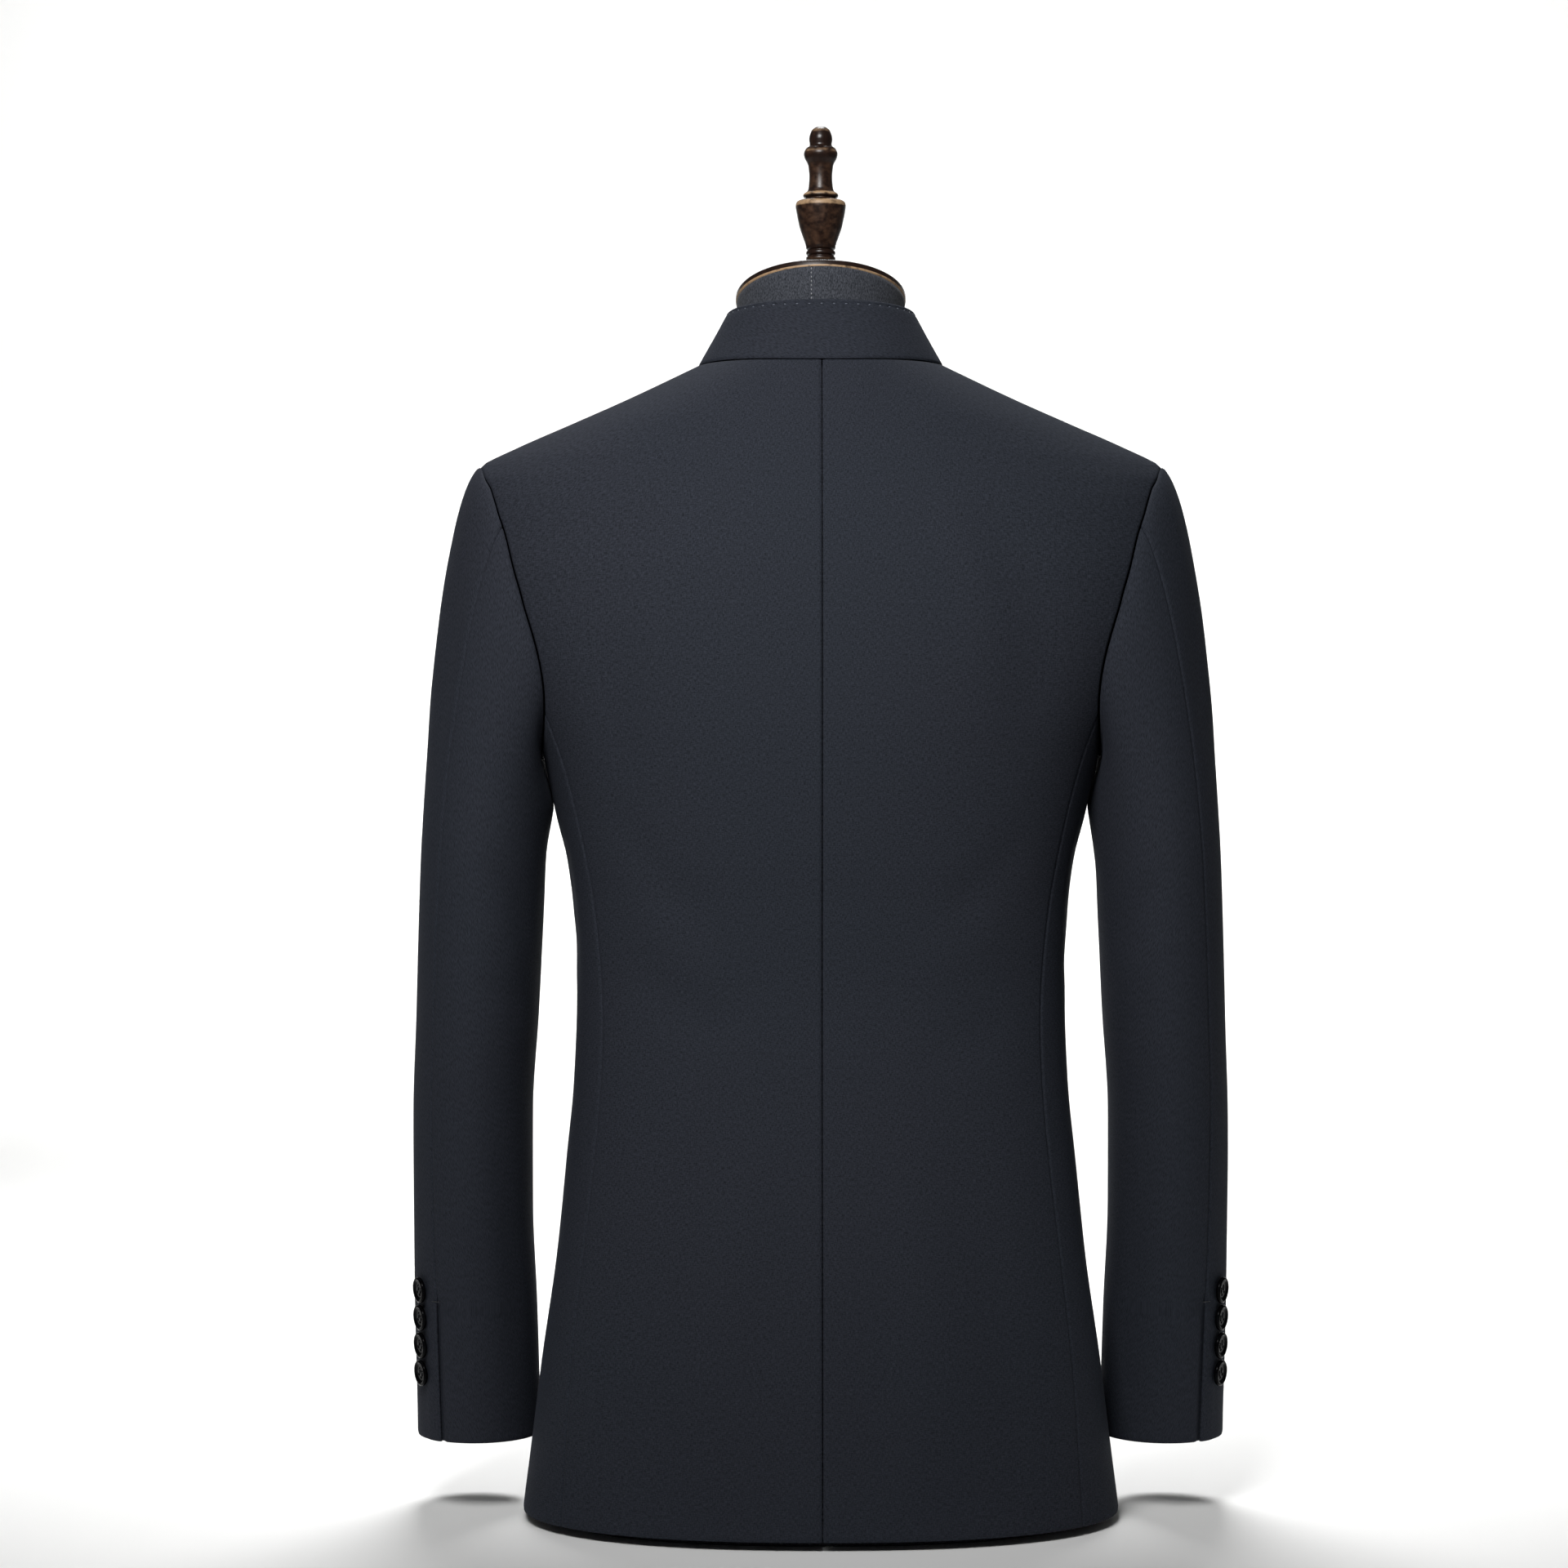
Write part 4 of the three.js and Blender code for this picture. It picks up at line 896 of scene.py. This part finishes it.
# %% One button and its thread
BUTTON_EDGE = [
    # share of the radius, share of the thickness
    (0.5, 0), (0.82, 0.02), (0.95, 0.2), (1, 0.42), (1, 0.66), (0.97, 0.86), (0.91, 0.98), (0.84, 1),
    (0.77, 0.95), (0.7, 0.8), (0.62, 0.68), (0.56, 0.64),
]
DISH, HOLE_AT, HOLE_RADIUS, HOLE_DEPTH = 0.62, 0.22, 0.115, 0.5
BUTTON_SIDES, THREAD_SIDES, THREAD_RINGS = 48, 6, 7
STRAND, STRAND_RADIUS, STRAND_RISE, STRAND_FALL = 0.32, 0.33, 0.35, 0.9


def button_mesh(name, diameter, thickness):
    """A turned button with four holes, its back at the origin and its face towards +Z."""
    radius = diameter / 2
    turns = np.linspace(0, 2 * math.pi, BUTTON_SIDES, endpoint=False)
    rings = [points_of(share * radius * np.cos(turns), share * radius * np.sin(turns), thickness * height)
             for share, height in BUTTON_EDGE]
    for share in np.linspace(0.52, 0.06, 20):
        x, y = share * np.cos(turns), share * np.sin(turns)
        near = np.hypot(np.abs(x) - HOLE_AT, np.abs(y) - HOLE_AT)
        hole = 1 - smooth_step(near, HOLE_RADIUS * 0.75, HOLE_RADIUS * 1.15)
        rings.append(points_of(x * radius, y * radius, thickness * (DISH - HOLE_DEPTH * hole)))
    return lofted(name, np.array(rings), smooth_ends=True)


def thread_mesh(name, diameter, thickness):
    """Two pairs of strands from hole to hole, a little arched."""
    reach, sides, points, faces = HOLE_AT * diameter / 2, THREAD_SIDES, [], []
    for line in (-reach - STRAND, -reach + STRAND, reach - STRAND, reach + STRAND):
        start = len(points)
        for step in np.linspace(-1, 1, THREAD_RINGS):
            middle = thickness * DISH + STRAND_RISE - STRAND_FALL * step ** 4
            for turn in np.linspace(0, 2 * math.pi, sides, endpoint=False):
                points.append((step * reach, line + STRAND_RADIUS * math.cos(turn),
                               middle + STRAND_RADIUS * math.sin(turn)))
        for ring in range(THREAD_RINGS - 1):
            for i in range(sides):
                a, b = start + ring * sides + i, start + ring * sides + (i + 1) % sides
                faces.append((a, b, b + sides, a + sides))
        last = len(points)
        faces += [tuple(range(start + sides - 1, start - 1, -1)), tuple(range(last - sides, last))]
    thing = mesh_object(name, points, faces)
    turn_outwards(thing.data)
    return thing


def stitch_mesh(name, length, thickness):
    """One short stitch of thread, pointed at both ends, along X."""
    turns = np.linspace(0, 2 * math.pi, THREAD_SIDES, endpoint=False)
    rings = []
    for step in np.linspace(-1, 1, 6):
        thin = thickness / 2 * math.sqrt(max(1 - abs(step) ** 3, 0.05))
        rings.append(points_of(step * length / 2, thin * np.cos(turns), thin * np.sin(turns)))
    return lofted(name, np.array(rings), smooth_ends=True)


FRONT_BUTTON = {"diameter": 21, "thickness": 3.8}
CUFF_BUTTON = {"diameter": 16.8, "thickness": 3.2}
front_button = button_mesh("one_front_button", **FRONT_BUTTON)
cuff_button = button_mesh("one_cuff_button", **CUFF_BUTTON)
front_thread = thread_mesh("one_front_thread", **FRONT_BUTTON)
cuff_thread = thread_mesh("one_cuff_thread", **CUFF_BUTTON)
pick_stitch = stitch_mesh("one_pick_stitch", 1.5, 0.8)
hole_stitch = stitch_mesh("one_buttonhole_stitch", 2.2, 0.62)
masters = [front_button, cuff_button, front_thread, cuff_thread, pick_stitch, hole_stitch]
print("one button:", len(front_button.data.polygons), "faces")

# %% Places of the buttons
FRONT_HEIGHTS = [238 + 99 * (4 - i) for i in range(5)]
CUFF_HEIGHTS = [90.6 + 18.1 * (3 - i) for i in range(4)]
CUFF_BUTTON_ANGLE = 36   # from the outside of the arm towards the back, on the top sleeve


def front_places():
    z = np.array(FRONT_HEIGHTS, float)
    return jacket.point(math.pi, z, np.full(len(z), OVER_LIFT + 0.8)), jacket.normal(math.pi, z)


def cuff_places(side):
    along = 1 + (ARM_TOP - np.array(CUFF_HEIGHTS)) / (ARM_TOP - CUFF)
    places, above = (sleeve_point(math.radians(CUFF_BUTTON_ANGLE), along, np.full(len(along), lift))
                     for lift in (0.8, 1.8))
    facing = unit(above - places)
    return (places, facing) if side == "left" else (mirrored(places), mirrored(facing))


print("front buttons at", FRONT_HEIGHTS, "mm, cuff buttons at", CUFF_HEIGHTS, "mm")

# %% [markdown]
# ## Finishes
#
# Each finish starts from the real stuff. Colours are written as a colour picker shows them and turned to
# linear light by one function, and one function adds a node with its settings and links. Short functions
# name the few nodes that the finishes share.

# %% Colours and nodes
def srgb(code):
    """A hex colour as linear red, green, blue and alpha."""
    channels = [int(code[i:i + 2], 16) / 255 for i in (1, 3, 5)]
    return (*(c / 12.92 if c <= 0.04045 else ((c + 0.055) / 1.055) ** 2.4 for c in channels), 1)


def fill(tree, node, inputs):
    """Gives each input of a node its value, or a link where the value is another node's output."""
    for name, value in inputs.items():
        if isinstance(value, bpy.types.NodeSocket):
            tree.links.new(value, node.inputs[name])
        else:
            node.inputs[name].default_value = value


def add_node(tree, kind, inputs=None, **settings):
    """Adds a node, sets its properties and fills its inputs."""
    node = tree.nodes.new(kind)
    for name, value in settings.items():
        setattr(node, name, value)
    fill(tree, node, inputs or {})
    return node


def new_finish(name):
    """An empty material with its tree and its Principled shader."""
    material = bpy.data.materials.new(name)
    material.use_nodes = True
    return material, material.node_tree, material.node_tree.nodes["Principled BSDF"]


def object_place(tree):
    """Where a point is on its own object, in metres."""
    return add_node(tree, "ShaderNodeTexCoord").outputs["Object"]


def rgba_mix(tree, factor, a, b):
    """The colour that a Mix node makes between two colours."""
    return add_node(tree, "ShaderNodeMix", {0: factor, 6: a, 7: b}, data_type="RGBA").outputs[2]


def noise_at(tree, vector, scale, detail):
    """A noise value at a vector, stretched by a scale for each axis, in waves a metre."""
    place = add_node(tree, "ShaderNodeMapping", {"Vector": vector, "Scale": scale})
    noise = add_node(tree, "ShaderNodeTexNoise", {
        "Vector": place.outputs["Vector"], "Scale": 1.0, "Detail": detail})
    return noise.outputs["Fac"]


def ramp(tree, value, low, high, start=0.0, end=1.0):
    """A value that goes from start to end while another goes from low to high, and stops there."""
    node = add_node(tree, "ShaderNodeMapRange", {
        "Value": value, "From Min": low, "From Max": high, "To Min": start, "To Max": end})
    return node.outputs["Result"]


def bumped(tree, height, strength, distance):
    """The direction of a surface that a height roughens."""
    node = add_node(tree, "ShaderNodeBump", {"Height": height, "Strength": strength, "Distance": distance})
    return node.outputs["Normal"]


# %% [markdown]
# ### Worsted
#
# Worsted is wool combed straight, spun hard and woven tight, then pressed. The eye gets a matt, dark
# cloth with a fine grain and a slight bloom where the surface turns away. Warp and weft are two noises,
# each stretched along its own thread. Real threads are 0.4 mm apart, too fine to show from here, so the
# noises are drawn a little coarser.

# %% Worsted
THREAD = 0.00055         # metres between drawn threads


def worsted_cloth():
    material, tree, shader = new_finish("navy_charcoal_worsted")
    cloth_uv = add_node(tree, "ShaderNodeUVMap", uv_map="cloth").outputs["UV"]
    warp = noise_at(tree, cloth_uv, (1 / THREAD, 0.25 / THREAD, 1), 1.0)
    weft = noise_at(tree, cloth_uv, (0.25 / THREAD, 1 / THREAD, 1), 1.0)
    woven = add_node(tree, "ShaderNodeMath", {0: warp, 1: weft}, operation="ADD").outputs[0]
    cloud = noise_at(tree, object_place(tree), (4, 4, 4), 3.0)
    dark = rgba_mix(tree, cloud, srgb("#191d22"), srgb("#1b1c21"))
    light = rgba_mix(tree, cloud, srgb("#2b3038"), srgb("#2f3038"))
    fill(tree, shader, {
        "Base Color": rgba_mix(tree, ramp(tree, woven, 0.7, 1.3), dark, light), "Roughness": 0.85,
        "Normal": bumped(tree, woven, 0.2, 0.0002), "IOR": 1.45, "Specular IOR Level": 0.08,
        "Sheen Weight": 0.02, "Sheen Roughness": 0.5, "Sheen Tint": srgb("#aab4cc")})
    return material


WORSTED = worsted_cloth()
for piece, _ in cloth.values():
    piece.data.materials.append(WORSTED)
print("worsted on", len(cloth), "pieces")

# %% [markdown]
# ### Resin, thread, form cloth and lacquer
#
# Polished resin is nearly black and as smooth as glass. Sewing silk is a little lighter than the cloth,
# so a stitch catches the light. The form's cover is a dull knitted cloth stretched tight. Lacquer is a
# clear hard coat on stained wood, and where it has worn the gilding below shows through.

# %% Resin and thread
def polished_resin():
    material, tree, shader = new_finish("polished_black_resin")
    swirl = noise_at(tree, object_place(tree), (260, 260, 90), 4.0)
    fill(tree, shader, {
        "Base Color": rgba_mix(tree, ramp(tree, swirl, 0.45, 0.75), srgb("#040405"), srgb("#0c0d0f")),
        "Roughness": 0.07, "IOR": 1.54, "Specular IOR Level": 0.03})
    return material


def sewing_thread(name, dark, light, sheen):
    material, tree, shader = new_finish(name)
    twist = noise_at(tree, object_place(tree), (1500, 1500, 1500), 1.0)
    fill(tree, shader, {
        "Base Color": rgba_mix(tree, twist, srgb(dark), srgb(light)), "Roughness": 0.5,
        "Normal": bumped(tree, twist, 0.4, 0.0002), "Sheen Weight": sheen, "Sheen Roughness": 0.3})
    return material


RESIN = polished_resin()
PICK_THREAD = sewing_thread("grey_sewing_silk", "#343943", "#646a76", 0.1)
COVER_THREAD = sewing_thread("pale_cotton_thread", "#5c5d60", "#8b8c90", 0.1)
DARK_THREAD = sewing_thread("black_button_thread", "#0d0e11", "#1b1c21", 0.05)

# %% Form cloth and lacquer
KNIT = 0.0006            # metres between drawn loops


def stretched_cover():
    material, tree, shader = new_finish("stretched_charcoal_cover")
    here = object_place(tree)
    loops = noise_at(tree, here, (1 / KNIT, 1 / KNIT, 0.4 / KNIT), 1.0)
    plain = rgba_mix(tree, noise_at(tree, here, (14, 14, 14), 2.0), srgb("#1d2024"), srgb("#26292e"))
    fill(tree, shader, {
        "Base Color": rgba_mix(tree, ramp(tree, loops, 0.3, 0.8), plain, srgb("#4b4d54")),
        "Normal": bumped(tree, loops, 0.3, 0.0003), "Roughness": 0.88, "Specular IOR Level": 0.1,
        "Sheen Weight": 0.04, "Sheen Roughness": 0.5})
    return material


def worn_lacquer():
    material, tree, shader = new_finish("worn_lacquer_on_stained_wood")
    here = object_place(tree)
    grain = noise_at(tree, here, (420, 420, 26), 3.0)
    patches = noise_at(tree, here, (240, 240, 300), 3.0)
    wear = add_node(tree, "ShaderNodeAttribute", attribute_name="wear").outputs["Fac"]
    rubbed = add_node(tree, "ShaderNodeMath", {0: wear, 1: patches}, operation="MULTIPLY").outputs[0]
    shown = ramp(tree, rubbed, 0.22, 0.5)
    wood = rgba_mix(tree, grain, srgb("#0b0808"), srgb("#2a1a13"))
    gilding = rgba_mix(tree, ramp(tree, wear, 0.6, 0.9), srgb("#4c3526"), srgb("#9c8062"))
    fill(tree, shader, {
        "Base Color": rgba_mix(tree, shown, wood, gilding),
        "Roughness": ramp(tree, shown, 0.0, 1.0, start=0.28, end=0.5),
        "Normal": bumped(tree, grain, 0.12, 0.0004), "IOR": 1.5, "Specular IOR Level": 0.3,
        "Coat Weight": 0.06, "Coat Roughness": 0.2})
    return material


COVER, LACQUER = stretched_cover(), worn_lacquer()
form_cover.data.materials.append(COVER)
for thing in (finial, cap):
    thing.data.materials.append(LACQUER)
print("finishes:", [m.name for m in (WORSTED, RESIN, PICK_THREAD, DARK_THREAD, COVER, LACQUER)])

# %% [markdown]
# ## Copies by Geometry Nodes
#
# Stitches and buttons repeat, so one of each is modelled and node trees place the rest. The first tree
# sets a copy on every point, turned to a direction stored on that point. The second walks a copy along
# a line at a given spacing, as a stitching machine does. Each result is then kept as a plain mesh.

# %% Two placing trees
def tree_with(name, sockets):
    """A new geometry tree with named inputs, its group input and output, and the identifiers."""
    tree = bpy.data.node_groups.new(name, "GeometryNodeTree")
    tree.interface.new_socket("Geometry", in_out="OUTPUT", socket_type="NodeSocketGeometry")
    tree.interface.new_socket("Geometry", in_out="INPUT", socket_type="NodeSocketGeometry")
    keys = {label: tree.interface.new_socket(label, in_out="INPUT", socket_type=kind).identifier
            for label, kind in sockets.items()}
    return tree, add_node(tree, "NodeGroupInput"), add_node(tree, "NodeGroupOutput"), keys


def finish_tree(tree, given, result, points, rotation):
    """Instances the copy on the points, makes it real and gives it its material."""
    copy = add_node(tree, "GeometryNodeObjectInfo", {"Object": given.outputs["Copy"]})
    placed = add_node(tree, "GeometryNodeInstanceOnPoints", {
        "Points": points, "Instance": copy.outputs["Geometry"], "Rotation": rotation})
    real = add_node(tree, "GeometryNodeRealizeInstances", {"Geometry": placed.outputs["Instances"]})
    coloured = add_node(tree, "GeometryNodeSetMaterial", {
        "Geometry": real.outputs["Geometry"], "Material": given.outputs["Finish"]})
    tree.links.new(coloured.outputs["Geometry"], result.inputs["Geometry"])


def tree_on_points(axis):
    tree, given, result, keys = tree_with(f"copies_on_points_{axis}", {
        "Copy": "NodeSocketObject", "Finish": "NodeSocketMaterial"})
    facing = add_node(tree, "GeometryNodeInputNamedAttribute", {"Name": "facing"}, data_type="FLOAT_VECTOR")
    turned = add_node(tree, "FunctionNodeAlignRotationToVector", {
        "Vector": facing.outputs["Attribute"]}, axis=axis)
    finish_tree(tree, given, result, given.outputs["Geometry"], turned.outputs["Rotation"])
    return tree, keys


def tree_along_line():
    tree, given, result, keys = tree_with("stitches_along_a_line", {
        "Copy": "NodeSocketObject", "Finish": "NodeSocketMaterial", "Spacing": "NodeSocketFloat"})
    line = add_node(tree, "GeometryNodeMeshToCurve", {"Mesh": given.outputs["Geometry"]})
    even = add_node(tree, "GeometryNodeResampleCurve", {
        "Curve": line.outputs["Curve"], "Length": given.outputs["Spacing"]}, mode="LENGTH")
    tangent = add_node(tree, "GeometryNodeInputTangent")
    turned = add_node(tree, "FunctionNodeAlignRotationToVector", {
        "Vector": tangent.outputs["Tangent"]}, axis="X")
    finish_tree(tree, given, result, even.outputs["Curve"], turned.outputs["Rotation"])
    return tree, keys


ON_POINTS, ON_EDGES, ALONG_LINE = tree_on_points("Z"), tree_on_points("X"), tree_along_line()


def placed(name, points, copy, finish, placing, facing=None, spacing=None):
    """Runs a placing tree on a row of points in millimetres and keeps the result as a plain mesh."""
    points = np.asarray(points, float) * MM
    edges = [] if spacing is None else [(i, i + 1) for i in range(len(points) - 1)]
    guide = bpy.data.meshes.new(f"{name}_guide")
    guide.from_pydata(points.tolist(), edges, [])
    if facing is not None:
        layer = guide.attributes.new("facing", "FLOAT_VECTOR", "POINT")
        layer.data.foreach_set("vector", np.asarray(facing, float).reshape(-1))
    host = added(f"{name}_guide", guide)
    tree, keys = placing
    modifier = host.modifiers.new("copies", "NODES")
    modifier.node_group = tree
    modifier[keys["Copy"]] = copy
    modifier[keys["Finish"]] = finish
    if spacing is not None:
        modifier[keys["Spacing"]] = spacing * MM
    seen = host.evaluated_get(bpy.context.evaluated_depsgraph_get())
    mesh = bpy.data.meshes.new_from_object(seen)
    host.modifiers.remove(modifier)
    bpy.data.objects.remove(host)
    mesh.name = name
    return added(name, mesh)


# %% Buttons and threads in place
trims = []               # (piece, record slot, nodes that it stands for)


def add_trim(name, points, copy, finish, placing, slot="worsted", nodes=(), **how):
    """Places copies, and notes their record slot and the CAD nodes that they stand for."""
    trims.append((placed(name, points, copy, finish, placing, **how), slot, nodes))


for kind, row, (places, facing), button, thread in (
        ("front", "", front_places(), front_button, front_thread),
        ("cuff", "_left", cuff_places("left"), cuff_button, cuff_thread),
        ("cuff", "_right", cuff_places("right"), cuff_button, cuff_thread)):
    nodes = [f"{kind}_button{row}_{i + 1}" for i in range(len(places))]
    add_trim(f"{kind}_buttons{row}", places, button, RESIN, ON_POINTS, "resin_button", nodes, facing=facing)
    add_trim(f"{kind}_button_threads{row}", places, thread, DARK_THREAD, ON_POINTS, facing=facing)

# %% Pick stitches
EDGE_INSET, EDGE_LINE = 3.2, 160         # of the front edge's stitches, and points along their line
NECK_STITCH_PITCH = 2.6

edge_z = np.linspace(24, 640, EDGE_LINE)
edge_angle = math.pi + (FRONT_OVERLAP - EDGE_INSET) / jacket.radius(math.pi, edge_z)
front_line = jacket.point(edge_angle, edge_z, np.full(EDGE_LINE, OVER_LIFT + 0.05))
pick_lines = {"collar_pick_stitches": collar_line}
for number, line in enumerate(flap_lines):
    pick_lines[f"flap_pick_stitches_{number + 1}"] = line
pick_lines["front_edge_pick_stitches"] = front_line
for name, line in pick_lines.items():
    add_trim(name, line, pick_stitch, PICK_THREAD, ALONG_LINE, spacing=PICK_PITCH)

neck_reach = section_radius(angle=math.asin(NECK_SEAM_X / NECK_COLUMN["back"]), **NECK_COLUMN) - 0.55
seam_y = math.sqrt(neck_reach ** 2 - NECK_SEAM_X ** 2)
neck_line = [(NECK_SEAM_X, seam_y, z) for z in (756, CAP["height"] + seam_y * CAP_SLOPE - 1.5)]
add_trim("neck_seam_stitches", neck_line, pick_stitch, COVER_THREAD, ALONG_LINE, "form_cloth",
         spacing=NECK_STITCH_PITCH)

# %% [markdown]
# ## Buttonholes and tacks
#
# Each front buttonhole is a slot worked all round with close stitches. It starts under the button and
# runs away from the front edge. A short bar tack holds the top of each cuff vent.

# %% Buttonholes and tacks
HOLE_START, HOLE_END, HOLE_HALF = 5, 22, 1.1   # from the centre front, and half its width
TACK_TURNS, TACK_LIFT, TACK_PITCH = np.linspace(-3.2, 3.2, 5), 0.5, 0.9


def buttonhole_stitches(z):
    """Places and directions of the stitches round one buttonhole."""
    places, directions = [], []
    for sign in (1, -1):
        for x in np.arange(HOLE_START, HOLE_END, 0.85):
            places.append((x, z + sign * HOLE_HALF))
            directions.append((0.12, 0, sign))
    for turn in np.radians(np.linspace(-75, 75, 6)):
        places.append((HOLE_END + HOLE_HALF * math.cos(turn), z + HOLE_HALF * math.sin(turn)))
        directions.append((math.cos(turn), 0, math.sin(turn)))
    x, height = np.array(places).T
    angle = math.pi - x / jacket.radius(math.pi, z)
    return jacket.point(angle, height, over_lift(angle, height) + 0.12), directions


spots, ways = zip(*[buttonhole_stitches(z) for z in FRONT_HEIGHTS])
add_trim("buttonhole_stitches", np.concatenate(spots), hole_stitch, DARK_THREAD, ON_EDGES,
         facing=np.concatenate(ways))
vent_top = 1 + (ARM_TOP - VENT_TOP) / (ARM_TOP - CUFF)
tack = sleeve_point(np.radians(hind_seam_angle(vent_top) + TACK_TURNS), vent_top,
                    np.full(len(TACK_TURNS), TACK_LIFT))
for side, line in (("left", tack), ("right", mirrored(tack))):
    add_trim(f"vent_tack_{side}", line, hole_stitch, DARK_THREAD, ALONG_LINE, spacing=TACK_PITCH)
for thing in masters:
    bpy.data.objects.remove(thing)
print("trims:", {piece.name: len(piece.data.polygons) for piece, _, _ in trims})

# %% [markdown]
# ## Join the pieces to the frame
#
# Every piece stands for its CAD node, which is hidden, and moves with the one rigid body. The cloth
# pieces lie draped over the form.

# %% Pieces on the frame
for node, (piece, (width, height, area)) in cloth.items():
    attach(piece, "root")
    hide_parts(node)
for piece, slot, nodes in trims:
    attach(piece, "root")
    if nodes:
        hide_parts(*nodes)
for piece, slot, node in ((form_cover, "form_cloth", "form_torso"), (cap, "lacquered_wood", "neck_cap"),
                          (finial, "lacquered_wood", "finial")):
    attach(piece, "root")
    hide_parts(node)
print("pieces:", len(cloth) + len(trims) + 3)

# %% [markdown]
# ## Floor and light
#
# The form stands on a plain pale floor that curves up into a wall. One key light hangs high on the
# viewer's side, so the shoulders are lightest and the skirt and the sides fall off. Two lights over the
# floor and its bend and two on the wall keep them white, and the room itself is dim.

# %% Floor and light
def studio_floor():
    """A floor that curves up into a wall behind the jacket, so that no horizon shows."""
    curve = [(-3200 - 1200 * math.sin(t), 1200 * (1 - math.cos(t))) for t in np.linspace(0, math.pi / 2, 24)]
    profile = [(6000, 0), *curve, (-4400, 6000)]
    points = [(x, y, z) for y, z in profile for x in (-8000, 8000)]
    faces = [(2 * i, 2 * i + 1, 2 * i + 3, 2 * i + 2) for i in range(len(profile) - 1)]
    material, tree, shader = new_finish("pale_painted_floor")
    fill(tree, shader, {"Base Color": srgb("#f0f0ef"), "Roughness": 0.7, "Specular IOR Level": 0.1})
    floor = mesh_object("floor", points, faces)
    floor.data.materials.append(material)
    return floor


def soft_light(name, place, target, size, power, spread):
    """A square light of a size in metres, aimed at a target, that spreads by degrees."""
    lamp = bpy.data.lights.new(name, "AREA")
    lamp.shape = "SQUARE"
    lamp.size = size
    lamp.energy = power
    lamp.spread = math.radians(spread)
    thing = added(name, lamp)
    thing.location = place
    thing.rotation_euler = (Vector(target) - Vector(place)).to_track_quat("-Z", "Y").to_euler()
    thing.visible_camera = False


studio_floor()
soft_light("key", (0.3, 1.3, 1.42), (0.03, 0, 0.55), 0.6, 4.6, 62)
soft_light("above_the_floor", (0, -1.1, 2.8), (0, -1.1, 0), 1.0, 27, 86)
soft_light("above_the_bend", (0, -2.5, 3.6), (0, -2.6, 0), 1.0, 13, 80)
soft_light("backdrop_left", (1.2, -2.4, 3.2), (0.9, -4.3, 0.6), 0.8, 22, 80)
soft_light("backdrop_right", (-1.2, -2.4, 3.2), (-0.9, -4.3, 0.6), 0.8, 22, 80)
world = bpy.data.worlds.new("white_room")
world.use_nodes = True
fill(world.node_tree, world.node_tree.nodes["Background"], {"Color": (1, 1, 1, 1), "Strength": 0.08})
bpy.context.scene.world = world
